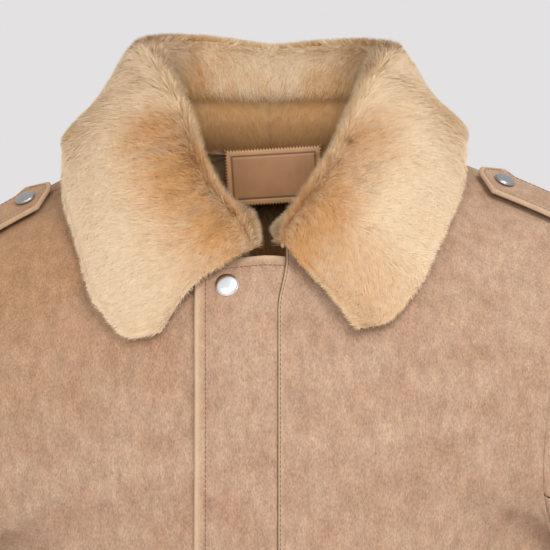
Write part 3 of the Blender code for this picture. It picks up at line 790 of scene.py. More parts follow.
@dataclass
class Stitching:
    """A row of lock stitches: small rounded bars that lie on the cloth, one after another."""

    pitch: float = 0.0034
    length: float = 0.0027
    radius: float = 0.00032
    sides: int = 5
    sections: tuple[tuple[float, float], ...] = ((-0.5, 0.35), (-0.3, 1.0), (0.3, 1.0), (0.5, 0.35))

    def along(self, path: Array, facing: Array) -> tuple[Array, list[Array]]:
        """Bars along a path.

        Each bar is a ring of points about the path's direction at a few places, its radius smaller
        at both ends, closed by a cap.

        Args:
            path: points on the face of the cloth.
            facing: the face's normal at each of them.

        Returns:
            Its points and its faces.
        """
        length = length_along(path)
        middle = np.arange(self.pitch, length[-1] - self.pitch / 2, self.pitch)
        start, place, end = (read_along(length, path, middle + k * self.length / 2) for k in (-1, 0, 1))
        ahead = unit(end - start)
        up = unit(read_along(length, facing, middle))
        aside = unit(np.cross(ahead, up))
        turn = np.arange(self.sides) * 2 * math.pi / self.sides
        shift, size = np.array(self.sections).T
        ring = aside[:, None, None] * np.cos(turn)[:, None] + up[:, None, None] * np.sin(turn)[:, None]
        points = (
            place[:, None, None]
            + up[:, None, None] * self.radius * 0.35
            + ahead[:, None, None] * (shift * self.length)[:, None, None]
            + ring * (size * self.radius)[:, None, None]
        )
        rings, sides = len(shift), self.sides
        first = np.arange(len(middle))[:, None] * rings * sides
        quads = (first[..., None] + ring_quads(rings, sides)).reshape(-1, 4)
        start = first + np.arange(sides)[::-1]
        end = first + (rings - 1) * sides + np.arange(sides)
        return points.reshape(-1, 3), [quads, start, end]


@dataclass
class Rows:
    """Rows of stitching that are joined into one piece."""

    stitching: Stitching = field(default_factory=Stitching)
    points: list[Array] = field(default_factory=list)
    faces: list[Array] = field(default_factory=list)

    def add(self, path: Array, facing: Array) -> None:
        """Adds a row along a path on the face of the cloth.

        Args:
            path: points on the face.
            facing: the face's normals there.
        """
        points, faces = self.stitching.along(path, facing)
        first = sum(len(x) for x in self.points)
        self.points.append(points)
        self.faces += [face + first for face in faces]

    def build(self, name: str, finishes: Finishes) -> bpy.types.Object:
        """All rows as one piece."""
        piece = add_mesh(name, np.concatenate(self.points), self.faces, [finishes.thread])
        return dress(piece, Slot.SUEDE)


def line_from_edge(points: Array, facing: Array, distance: float, edge: str) -> tuple[Array, Array]:
    """A line over a grid at a distance from one of its edges.

    Args:
        points: the grid.
        facing: its normals.
        distance: how far from the edge, over the surface.
        edge: the edge, of t, b, l and r: first row, last row, first and last column.

    Returns:
        The line's points and the normals there.
    """
    both = np.concatenate([points, facing], axis=2)
    if edge in "tb":
        both = both.transpose(1, 0, 2)
    if edge in "br":
        both = both[:, ::-1]
    length = arc(both[..., :3], 1)
    line = np.array([read_along(s, row, distance) for s, row in zip(length, both)])
    return line[:, :3], line[:, 3:]


# The body


@dataclass
class BodyForm:
    """The form of the fronts and the back, as the solids have it: lines across half of the body.

    A row is a line from the centre line, or the neck, to the side seam or the armhole. At a share u
    of the way round, with the turn f = u * 90 degrees and roundness w, it lies at
    (1 - w) u + w sin f outwards, (1 - w) u + w (1 - cos f) back and u^(1 + 0.6 w) down, each as a
    share of the way from the line's start to its end.
    """

    # start of the line, end of the line, roundness of the line
    front_lines: tuple = (
        ((0.0000, -0.1220, -0.6900), (0.2230, 0.0000, -0.6900), 1.00),
        ((0.0000, -0.1240, -0.5600), (0.2240, 0.0000, -0.5600), 1.00),
        ((0.0000, -0.1280, -0.4200), (0.2250, 0.0000, -0.4300), 1.00),
        ((0.0000, -0.1290, -0.3000), (0.2230, 0.0000, -0.3050), 1.00),
        ((0.0000, -0.1270, -0.2250), (0.2050, -0.0720, -0.2860), 0.85),
        ((0.0000, -0.1220, -0.1650), (0.1935, -0.0980, -0.2380), 0.62),
        ((0.0000, -0.1120, -0.1200), (0.2000, -0.0920, -0.1800), 0.50),
        ((0.0000, -0.0980, -0.0870), (0.2120, -0.0720, -0.1300), 0.42),
        ((0.0450, -0.0840, -0.0640), (0.2250, -0.0480, -0.0980), 0.35),
        ((0.0700, -0.0540, -0.0340), (0.2340, -0.0300, -0.0800), 0.25),
        ((0.0840, -0.0140, -0.0050), (0.2380, -0.0110, -0.0670), 0.12),
    )
    back_lines: tuple = (
        ((0.0000, 0.1140, -0.6900), (0.2230, 0.0000, -0.6900), 1.00),
        ((0.0000, 0.1100, -0.5600), (0.2240, 0.0000, -0.5600), 1.00),
        ((0.0000, 0.1120, -0.4200), (0.2250, 0.0000, -0.4300), 1.00),
        ((0.0000, 0.1200, -0.3000), (0.2230, 0.0000, -0.3050), 1.00),
        ((0.0000, 0.1250, -0.2250), (0.2120, 0.0640, -0.2850), 0.85),
        ((0.0000, 0.1230, -0.1600), (0.2080, 0.0920, -0.2350), 0.65),
        ((0.0000, 0.1120, -0.1000), (0.2120, 0.0910, -0.1750), 0.55),
        ((0.0000, 0.0970, -0.0480), (0.2200, 0.0770, -0.1280), 0.45),
        ((0.0000, 0.0790, -0.0030), (0.2290, 0.0560, -0.0950), 0.35),
        ((0.0500, 0.0650, -0.0010), (0.2350, 0.0360, -0.0710), 0.22),
        ((0.0830, 0.0140, 0.0005), (0.2380, 0.0140, -0.0605), 0.14),
        ((0.0840, -0.0140, -0.0050), (0.2380, -0.0110, -0.0670), 0.12),
    )
    row_underarm: int = 3
    row_pit: int = 7
    row_nape: int = 8
    line_sag: float = 0.6
    hide: float = 0.0025
    seam_gap: float = 0.0003
    drop: float = 0.0190  # the right shoulder, at -X, sits this much lower
    drop_from: float = 0.0840
    drop_to: float = 0.2380
    drop_fade: tuple[float, float] = (-0.5600, -0.3000)
    # share of the way round, height, how far it stands out, half widths round and up
    front_folds: tuple = (
        (0.36, -0.640, 0.0045, 0.10, 0.130),
        (0.62, -0.600, -0.0050, 0.09, 0.150),
        (0.80, -0.450, 0.0050, 0.08, 0.100),
    )
    back_folds: tuple = (
        (0.24, -0.600, -0.0045, 0.10, 0.160),
        (0.52, -0.640, 0.0050, 0.10, 0.140),
        (0.78, -0.430, 0.0050, 0.08, 0.100),
    )

    @property
    def shoulder_front(self) -> int:
        """Row of the shoulder seam on the front."""
        return len(self.front_lines) - 1

    @property
    def shoulder_back(self) -> int:
        """Row of the shoulder seam on the back."""
        return len(self.back_lines) - 1

    def settle(self, points: Array) -> Array:
        """Lets the right shoulder sink by its drop. The hem stays level.

        Args:
            points: points of any piece.

        Returns:
            The points where they lie in the end.
        """
        points = np.array(points, float)
        out = np.clip((-points[..., 0] - self.drop_from) / (self.drop_to - self.drop_from), 0.0, 1.0)
        low, high = self.drop_fade
        points[..., 2] -= self.drop * out * ease((points[..., 2] - low) / (high - low))
        return points

    def read(self, lines: tuple, rows: Array) -> tuple[Array, Array, Array]:
        """Start, end and roundness of the lines of a table at any rows between its own.

        Args:
            lines: the table.
            rows: the rows, counted from 0 and not only whole.

        Returns:
            Starts, ends and roundness.
        """
        table = [(*start, *end, roundness) for start, end, roundness in lines]
        at = smooth_table(np.arange(len(lines)), table, rows)
        return at[:, 0:3], at[:, 3:6], at[:, 6:7]

    def grid(self, lines: tuple, rows: Array, across: Array) -> Array:
        """Points of half the body at rows of a table, each with its own shares of the way round.

        Args:
            lines: the table.
            rows: the rows.
            across: for each of them, shares of the way round.

        Returns:
            The grid of points at +X.
        """
        start, end, w = self.read(lines, rows)
        turn = across * math.pi / 2
        out = (1 - w) * across + w * np.sin(turn)
        back = (1 - w) * across + w * (1 - np.cos(turn))
        down = across ** (1 + self.line_sag * w)
        return start[:, None] + (end - start)[:, None] * np.stack([out, back, down], axis=-1)

    def shares_at(self, lines: tuple, rows: Array, distance: Array) -> Array:
        """Share of the way round at which each row is this far from the centre line.

        Args:
            lines: the table.
            rows: the rows.
            distance: distances from the centre line, for each row or for all.

        Returns:
            The shares, one row for each of the rows.
        """
        dense = np.linspace(0.0, 1.0, 401)
        points = self.grid(lines, rows, np.tile(dense, (len(rows), 1)))
        distance = np.broadcast_to(distance, (len(rows), distance.shape[-1]))
        return np.stack([np.interp(d, p[:, 0], dense) for d, p in zip(distance, points)])

    def folded(self, points: Array, across: Array, folds: tuple, outwards: float) -> Array:
        """Pushes half of the body out and in by its broad folds."""
        push = sum(
            depth * bump(across, middle, half_width) * bump(points[..., 2], height, half_length)
            for middle, height, depth, half_width, half_length in folds
        )
        return points + normals(points) * outwards * push[..., None]

    def rows_between(self, first: float, last: float, step: float, lines: tuple,
                     marks: tuple = (0.0,)) -> Array:
        """Rows that lie evenly over the cloth, with closer ones at both ends.

        Args:
            first, last: the rows of the table between which they lie.
            step: how far apart they are, over the cloth.
            lines: the table.
            marks: distances from both ends at which a row lies.

        Returns:
            The rows, rising.
        """
        dense = np.linspace(first, last, 600)
        start, end, _ = self.read(lines, dense)
        length = length_along(start * 0.6 + end * 0.4)
        shares = spaced(length[-1], marks, step)
        return np.interp(shares * length[-1], length, dense)

    def along_edge(self, lines: tuple, rows: tuple[float, float], shares: Array, which: int) -> Array:
        """Points at shares of the length of a panel's edge: its starts (0) or its ends (1).

        Args:
            lines: the table.
            rows: the rows at its two ends.
            shares: shares of its length.
            which: 0 for the lines' starts, 1 for their ends.

        Returns:
            The points.
        """
        edge = self.read(lines, np.linspace(rows[0], rows[1], 400))[which]
        length = length_along(edge)
        return read_along(length, edge, shares * length[-1])

    def armhole(self, degrees: Array) -> Array:
        """Edge of the armhole at degrees round the sleeve: -90 underarm, 0 front, 90 shoulder, 180 back.

        Args:
            degrees: the places.

        Returns:
            Points of the edge at +X.
        """
        up, down = (np.clip((degrees + turn) / 180, 0, 1) for turn in (90, -90))
        front = self.along_edge(self.front_lines, (self.row_underarm, self.shoulder_front), up, 1)
        back = self.along_edge(self.back_lines, (self.shoulder_back, self.row_underarm), down, 1)
        return np.where(degrees[:, None] <= 90, front, back)

    def neck_edge(self, shares: Array) -> Array:
        """Edge of the neck at shares round the collar: 0 at the nape, 0.5 at the shoulder, 1 in front.

        Args:
            shares: the places.

        Returns:
            Points of the edge at +X.
        """
        behind, before = np.clip(shares * 2, 0, 1), np.clip(shares * 2 - 1, 0, 1)
        back = self.along_edge(self.back_lines, (self.row_nape, self.shoulder_back), behind, 0)
        front = self.along_edge(self.front_lines, (self.shoulder_front, self.row_pit + 0.26), before, 0)
        return np.where(shares[:, None] <= 0.5, back, front)


@dataclass
class Hide:
    """How suede is cut: its thickness, and how far from an edge it rounds off and looks worn."""

    thickness: float = 0.0025
    radius: float = 0.0016
    least: float = 0.35
    worn: float = 0.0045
    paleness: float = 0.45

    def add(self, wall: Wall, inner: Array, facing: Array, turned: bool, edges: str = "tblr",
            worn: str = "", relief: Array | float = 0.0) -> Array:
        """Adds a grid of hide to a wall.

        The outer face lies at inner + facing * (thickness * its share near an edge + relief).

        Args:
            wall: the wall to which it is added.
            inner: points of the inner face.
            facing: directions outwards.
            turned: whether the outer face looks against the grid's normals.
            edges: the edges that round off, of t, b, l and r.
            worn: the edges that look worn.
            relief: height of seams and folds on the outer face.

        Returns:
            Points of the outer face.
        """
        share = turned_edge(inner, edges, self.radius, self.least)
        outer = inner + facing * (self.thickness * share + relief)[..., None]
        pale = np.zeros(inner.shape[:2])
        for letter, distance in zip("tblr", edge_distance(inner)):
            if letter in worn:
                pale = np.maximum(pale, self.paleness * (1 - ease(distance / self.worn)))
        wall.add(inner, outer, turned, edge=pale)
        return outer


# distances from an edge at which points lie: close together at the edge, and again at a hem's stitches
EDGE_MARKS = (0.0, 0.0005, 0.0012, 0.0022, 0.0040, 0.0075)
HEM_MARKS = (*EDGE_MARKS, 0.0140, 0.0195, 0.0210, 0.0220, 0.0230, 0.0250)
HEM_RISE, HEM_SLOPE = 0.0005, 0.0030  # a hem's height over the plain cloth, and the length of its slope
HEM_GROOVE, HEM_GROOVE_HALF = 0.0004, 0.0012  # depth and half width of the groove of its stitches
CALM = 0.020  # creases fade out this near to a seam


def hem_relief(up: Array, width: float) -> Array:
    """A turned hem: double hide up to a row of stitches that is drawn a little way in.

    Args:
        up: distances from the cloth's lower edge.
        width: distance of the stitches from it.

    Returns:
        The height of the outer face over the plain cloth.
    """
    return HEM_RISE * ease((width - up) / HEM_SLOPE) - HEM_GROOVE * bump(up, width, HEM_GROOVE_HALF)


@dataclass
class Cut:
    """A piece of cloth and how it hangs, kept until every piece is there."""

    piece: bpy.types.Object
    flat: tuple[float, float]
    area: float
    held: str
    rests_on: tuple[str, ...]

    def declare(self) -> None:
        """States the cut of the cloth, in metres and square metres."""
        width, length = (1000 * x for x in self.flat)
        LOG.info("%s is cut %.0f by %.0f mm, %.4f m2", self.piece.name, width, length, self.area)


def flat_size(*grids: Array) -> tuple[float, float]:
    """Width and length of cloth laid flat: the longest rows, side by side, and the longest column.

    Args:
        grids: its parts, which lie side by side.

    Returns:
        Width and length in metres.
    """
    width = sum(float(arc(grid, 1)[:, -1].max()) for grid in grids)
    length = max(float(arc(grid, 0)[-1].max()) for grid in grids)
    return round(width, 4), round(length, 4)


@dataclass
class Maker:
    """What every piece is made with, and the way in which its cloth is finished."""

    form: BodyForm
    finishes: Finishes
    stitches: Rows
    cuts: list[Cut]

    def sew(self, wall: Wall, name: str, node: str | None, flat: tuple[float, float],
            rests_on: tuple[str, ...], held: str = "hung", slot: Slot = Slot.SUEDE,
            outside: bpy.types.Material | None = None, inside: bpy.types.Material | None = None) -> None:
        """Turns a wall into a dressed piece of cloth and notes its cut.

        Args:
            wall: the wall.
            name: the piece's name.
            node: the solid's node that it stands for, if any.
            flat: the width and length of its cut.
            rests_on: the pieces that it hangs from or lies on.
            held: how it is held.
            slot: its material slot.
            outside, inside: its materials, where they aren't suede and its shorn inside.
        """
        finishes = self.finishes
        piece = wall.build(name, outside or finishes.suede, inside or finishes.inside)
        dress(piece, slot, *([node] if node else []))
        self.cuts.append(Cut(piece, flat, min(round(wall.area, 5), math.prod(flat)), held, rests_on))


@dataclass
class Fronts(Maker):
    """The two fronts. The left one climbs over the fly's seam, the right one runs under the fly."""

    hide: Hide = field(default_factory=Hide)
    step: float = 0.0062
    width: float = 0.2800
    fly_seam: float = 0.0070
    fly_seam_top: float = 0.0125
    fly_seam_lean: float = 0.0360
    underlap: float = 0.0130
    lift: float = 0.0040
    lift_reach: float = 0.0200
    lift_fade: tuple[float, float] = (-0.0950, -0.0750)
    seam_stitch: float = 0.0024
    hem: float = 0.0220
    ripple: float = 0.0005
    ripple_cell: float = 0.034
    # start (x, z), end (x, z), half width, height: soft troughs and ridges
    creases: tuple = (
        (-0.178, -0.128, -0.128, -0.190, 0.0130, -0.0014),
        (-0.160, -0.168, -0.104, -0.236, 0.0180, 0.0013),
        (-0.150, -0.262, -0.076, -0.330, 0.0200, -0.0013),
        (-0.062, -0.170, -0.058, -0.262, 0.0110, -0.0008),
        (-0.096, -0.180, -0.092, -0.250, 0.0140, 0.0008),
        (-0.208, -0.260, -0.130, -0.330, 0.0150, -0.0022),
        (-0.205, -0.300, -0.140, -0.395, 0.0190, 0.0020),
        (-0.190, -0.430, -0.110, -0.500, 0.0220, -0.0018),
        (-0.120, -0.560, -0.090, -0.670, 0.0200, 0.0016),
        (-0.070, -0.440, -0.064, -0.560, 0.0150, -0.0012),
        (0.176, -0.118, 0.132, -0.172, 0.0120, -0.0012),
        (0.166, -0.150, 0.096, -0.214, 0.0170, 0.0012),
        (0.150, -0.214, 0.066, -0.290, 0.0180, -0.0014),
        (0.040, -0.176, 0.030, -0.270, 0.0120, -0.0009),
        (0.078, -0.196, 0.060, -0.262, 0.0150, 0.0009),
        (0.206, -0.262, 0.136, -0.318, 0.0140, -0.0020),
        (0.204, -0.310, 0.120, -0.380, 0.0200, 0.0018),
        (0.180, -0.440, 0.090, -0.486, 0.0220, -0.0019),
        (0.060, -0.520, 0.044, -0.640, 0.0170, 0.0013),
        (0.140, -0.580, 0.124, -0.676, 0.0200, -0.0015),
    )

    def seam_at(self, heights: Array) -> Array:
        """Distance of the fly's seam from the centre line, which leans outwards near the neck.

        Args:
            heights: places along it.

        Returns:
            The distances.
        """
        neck = self.form.front_lines[self.form.row_pit][0][2]
        lean = ease((heights - neck + self.fly_seam_lean) / self.fly_seam_lean)
        return self.fly_seam + (self.fly_seam_top - self.fly_seam) * lean

    def half(self, edge: Array, rows: Array) -> Array:
        """Half a front, from an edge given for each row to the side, the armhole and the shoulder.

        Args:
            edge: distance of the edge from the centre line.
            rows: the rows of the form.

        Returns:
            The grid of points at +X.
        """
        form = self.form
        start = form.read(form.front_lines, rows)[0]
        first = form.shares_at(form.front_lines, rows, np.maximum(edge, start[:, 0])[:, None])
        across = first + (1 - first) * spaced(self.width, EDGE_MARKS, self.step)
        points = form.grid(form.front_lines, rows, across)
        return form.folded(points, across, form.front_folds, 1.0)

    def creased(self, points: Array, sign: int) -> tuple[Array, Array]:
        """Presses the creases of one side into a half front, and gives its directions outwards.

        Args:
            points: the half front at +X.
            sign: the side whose creases it gets.

        Returns:
            The points and the directions.
        """
        facing = normals(points)
        push = crease(points[..., 0] * sign, points[..., 2], self.creases)
        ripple = value_noise(points[..., 0] * sign + 1, points[..., 2], self.ripple_cell, 31 + sign)
        ripple = ripple * self.ripple
        inside = np.minimum.reduce([ease(d / CALM) for d in edge_distance(points)])
        points = points + facing * ((push + ripple) * inside)[..., None]
        return points, normals(points)

    def rows(self) -> Array:
        """Rows of a front from hem to shoulder, closer together at both ends and at the hem's stitches."""
        form = self.form
        return form.rows_between(0, form.shoulder_front, self.step, form.front_lines, HEM_MARKS)

    def build(self) -> None:
        """Builds both fronts."""
        form, rows = self.form, self.rows()
        start = form.read(form.front_lines, rows)[0]
        left = self.half(self.seam_at(start[:, 2]), rows)
        low, high = self.lift_fade
        fade = 1 - ease((left[..., 2] - low) / (high - low))
        left[..., 1] -= self.lift * bump(left[..., 0], self.fly_seam, self.lift_reach) * fade
        left, facing = self.creased(left, 1)
        wall = Wall()
        relief = hem_relief(edge_distance(left)[0], self.hem)
        outer = self.hide.add(wall, left, facing, False, "tblr", "tl", relief)
        self.sew(wall, "front_left_suede", "front_left", flat_size(left), ("back_suede", "placket_suede"))
        self.stitches.add(*line_from_edge(outer, facing, self.seam_stitch, "l"))
        self.stitches.add(*line_from_edge(outer, facing, self.hem, "t"))

        right, facing = self.creased(self.half(np.full(len(rows), self.underlap), rows), -1)
        right, facing = form.settle(mirrored(right)), mirrored(facing)
        wall = Wall()
        relief = hem_relief(edge_distance(right)[0], self.hem)
        outer = self.hide.add(wall, right, facing, True, "tblr", "t", relief)
        self.sew(wall, "front_right_suede", "front_right", flat_size(right), ("back_suede", "placket_suede"))
        self.stitches.add(*line_from_edge(outer, facing, self.hem, "t"))


@dataclass
class Back(Maker):
    """The back in one piece, which reaches over the shoulders to the seams in front."""

    hide: Hide = field(default_factory=Hide)
    step: float = 0.0064
    width: float = 0.2850
    hem: float = 0.0220
    # start (x, z), end (x, z), half width, height
    creases: tuple = (
        (-0.190, -0.130, -0.110, -0.190, 0.0140, -0.0020),
        (-0.196, -0.190, -0.090, -0.268, 0.0190, 0.0021),
        (-0.206, -0.270, -0.124, -0.330, 0.0150, -0.0024),
        (-0.150, -0.400, -0.050, -0.450, 0.0220, -0.0020),
        (-0.184, -0.470, -0.090, -0.520, 0.0210, 0.0018),
        (-0.060, -0.560, -0.040, -0.676, 0.0190, -0.0018),
        (-0.030, -0.090, 0.026, -0.104, 0.0130, -0.0012),
        (-0.044, -0.128, 0.058, -0.140, 0.0180, 0.0012),
        (0.186, -0.120, 0.096, -0.170, 0.0150, -0.0018),
        (0.198, -0.200, 0.110, -0.290, 0.0180, 0.0022),
        (0.204, -0.282, 0.140, -0.352, 0.0160, -0.0022),
        (0.160, -0.410, 0.070, -0.430, 0.0200, -0.0019),
        (0.196, -0.500, 0.120, -0.560, 0.0230, 0.0017),
        (0.080, -0.570, 0.066, -0.680, 0.0180, 0.0020),
        (0.010, -0.380, 0.020, -0.500, 0.0240, 0.0013),
    )

    def build(self) -> None:
        """Builds the back."""
        form = self.form
        rows = form.rows_between(0, form.shoulder_back, self.step, form.back_lines, HEM_MARKS)
        rows = np.unique(np.append(rows, form.row_nape))
        across = np.tile(spaced(self.width, EDGE_MARKS, self.step), (len(rows), 1))
        plain = form.folded(form.grid(form.back_lines, rows, across), across, form.back_folds, -1.0)
        plain[..., 1] += form.seam_gap
        wall, halves = Wall(), []
        joined = (rows <= form.row_nape)[:, None]
        for sign in (1, -1):
            half = mirrored(plain) if sign < 0 else plain
            facing = -sign * normals(half)
            top, bottom, _, right = edge_distance(half)
            inside = np.minimum.reduce([ease(d / CALM) for d in (top, bottom, right)])
            push = crease(half[..., 0], half[..., 2], self.creases)
            half = half + facing * (push * inside)[..., None]
            half[:, 0, 0] = np.where(joined[:, 0], 0.0, half[:, 0, 0])
            half = form.settle(half)
            facing = -sign * normals(half)
            relief = hem_relief(edge_distance(half)[0], self.hem)
            outer = self.hide.add(wall, half, facing, sign > 0, "tbr", "t", relief)
            self.stitches.add(*line_from_edge(outer, facing, self.hem, "t"))
            halves.append(half)
        self.sew(wall, "back_suede", "back", flat_size(*halves), ("front_left_suede", "front_right_suede"))


@dataclass
class Fly(Maker):
    """The fly: a long strip over the closing, folded back and edge stitched on its free edge and its top."""

    fronts: Fronts
    hide: Hide = field(default_factory=lambda: Hide(worn=0.0075, paleness=0.75))
    edge: float = -0.0510
    step: float = 0.0058
    marks: tuple[float, ...] = (
        0.0, 0.0004, 0.0010, 0.0018, 0.0030, 0.0050, 0.0070, 0.0082, 0.0088, 0.0094, 0.0100, 0.0108, 0.0140,
    )
    stitch: float = 0.0092
    puff: float = 0.0006
    puff_half: float = 0.0040
    groove: float = 0.0006
    groove_half: float = 0.0011
    lift: float = 0.0004
    gape: float = 0.0022  # how far it gapes below the snap, round this height
    gape_height: tuple[float, float] = (-0.128, 0.035)
    gape_width: float = 0.018
    pucker_start: float = 0.010
    deepest_pucker: float = 0.0002
    rest_width: float = 0.044
    # start (x, z), end (x, z), half width, height: puckers of the long seam, the pull of the snap
    creases: tuple = (
        (-0.038, -0.150, -0.008, -0.166, 0.0080, -0.0006),
        (-0.034, -0.196, -0.004, -0.204, 0.0100, 0.0006),
        (-0.040, -0.236, -0.010, -0.252, 0.0100, -0.0007),
        (-0.036, -0.330, 0.000, -0.340, 0.0130, 0.0008),
        (-0.042, -0.450, -0.006, -0.466, 0.0120, -0.0009),
        (-0.038, -0.580, 0.000, -0.572, 0.0130, 0.0008),
        (-0.029, -0.112, -0.006, -0.122, 0.0060, 0.0005),
    )

    def grid(self, rows: Array) -> Array:
        """Points under the fly, on the form of the fronts, from the hem to the neck.

        Args:
            rows: the rows of the form.

        Returns:
            The grid of points.
        """
        lines = self.form.front_lines
        heights = self.form.read(lines, rows)[0][:, 2:3]
        to_seam = self.fronts.seam_at(heights) - self.form.seam_gap
        near = self.edge + np.array(self.marks)
        shares = spaced(self.rest_width, (0.0, 0.0005, 0.0015), self.step)[None, 3:]
        rest = near[-1] + (to_seam - near[-1]) * shares
        distance = np.concatenate([np.tile(near, (len(rows), 1)), rest], axis=1)
        points = self.form.grid(lines, rows, self.form.shares_at(lines, rows, np.abs(distance)))
        points[..., 0] = distance
        return points

    def build(self) -> None:
        """Builds the fly."""
        form = self.form
        rows = form.rows_between(0, form.row_pit, self.step, form.front_lines, self.marks)
        under = self.grid(rows)
        facing = normals(under)
        side, top = edge_distance(under)[2], edge_distance(under)[1]
        near = np.minimum(side, top)
        puckers = crease(under[..., 0], under[..., 2], self.creases) * ease(near / self.pucker_start)
        lift = self.lift + self.gape * bump(under[..., 2], *self.gape_height)
        lift = lift * (1 - ease(side / self.gape_width))
        off = form.hide + form.seam_gap + lift + np.maximum(puckers, -self.deepest_pucker)
        strip = under + facing * off[..., None]
        relief = self.puff * bump(near, self.stitch / 2, self.puff_half)
        relief = relief - self.groove * bump(near, self.stitch, self.groove_half)
        wall = Wall()
        outer = self.hide.add(wall, strip, facing, False, "tblr", "bl", relief)
        fronts = ("front_left_suede", "front_right_suede")
        self.sew(wall, "placket_suede", "placket", flat_size(strip), fronts)
        line, line_facing = line_from_edge(outer, facing, self.stitch, "l")
        below = arc(outer, 0)[-1, 8] - arc(outer, 0)[:, 8] >= self.stitch
        self.stitches.add(line[below], line_facing[below])
        line, line_facing = line_from_edge(outer, facing, self.stitch, "b")
        inside = arc(outer, 1)[-1] >= self.stitch
        self.stitches.add(line[inside], line_facing[inside])


@dataclass
class Snap:
    """A snap cap: a polished dome with a fine step above its flange, turned about its axis."""

    node: str
    finish: bpy.types.Material
    steps: int = 48
    # share of the radius, share of the height, from the crown to the middle of the base
    profile: tuple = (
        (0.00, 1.000), (0.14, 0.996), (0.28, 0.982), (0.42, 0.955), (0.55, 0.910), (0.67, 0.845),
        (0.77, 0.765), (0.85, 0.665), (0.905, 0.560), (0.935, 0.470), (0.945, 0.400), (0.945, 0.330),
        (0.960, 0.300), (0.985, 0.285), (1.000, 0.240), (1.000, 0.060), (0.980, 0.000), (0.00, 0.000),
    )

    def build(self, node: bpy.types.Object) -> None:
        """Builds the cap where the solid of that name is.

        Its axis is the direction that most of its surface faces, each face counted by its area.

        Args:
            node: the solid.
        """
        count = len(node.data.vertices)
        points = np.empty(count * 3, np.float32)
        node.data.vertices.foreach_get("co", points)
        points = points.reshape(-1, 3).astype(float)
        middle = (points.max(axis=0) + points.min(axis=0)) / 2
        count = len(node.data.polygons)
        faces, areas = np.empty(count * 3, np.float32), np.empty(count, np.float32)
        node.data.polygons.foreach_get("normal", faces)
        node.data.polygons.foreach_get("area", areas)
        faces = faces.reshape(-1, 3)
        along, aside, axis = np.linalg.eigh((faces * areas[:, None]).T @ faces)[1].T
        if axis @ (middle - np.array([0.0, 0.0, -0.3])) < 0:
            axis = -axis
        along = np.cross(axis, aside)
        spread = (points - middle) @ np.stack([aside, along, axis]).T
        low, high = spread.min(axis=0), spread.max(axis=0)
        radius, height = (high - low)[:2].max() / 2, (high - low)[2]
        base = middle + np.array([*((high + low)[:2] / 2), low[2]]) @ np.stack([aside, along, axis])
        share, rise = np.array(self.profile[1:-1]).T
        turn = np.arange(self.steps) * 2 * math.pi / self.steps
        ring = aside * np.cos(turn)[:, None] + along * np.sin(turn)[:, None]
        rings = base + ring[None] * (share * radius)[:, None, None] + axis * (rise * height)[:, None, None]
        made = np.concatenate([rings.reshape(-1, 3), [base + axis * height, base]])
        quads = ring_quads(len(share), self.steps)[:, [0, 3, 2, 1]]
        j = np.arange(self.steps)
        k = (j + 1) % self.steps
        crown, foot = len(made) - 2, len(made) - 1
        last = (len(share) - 1) * self.steps
        top = np.stack([j, k, np.full_like(j, crown)], axis=1)
        bottom = np.stack([last + k, last + j, np.full_like(j, foot)], axis=1)
        piece = add_mesh(f"{self.node}_cap", made, [quads, top, bottom], [self.finish])
        dress(piece, Slot.METAL, self.node)


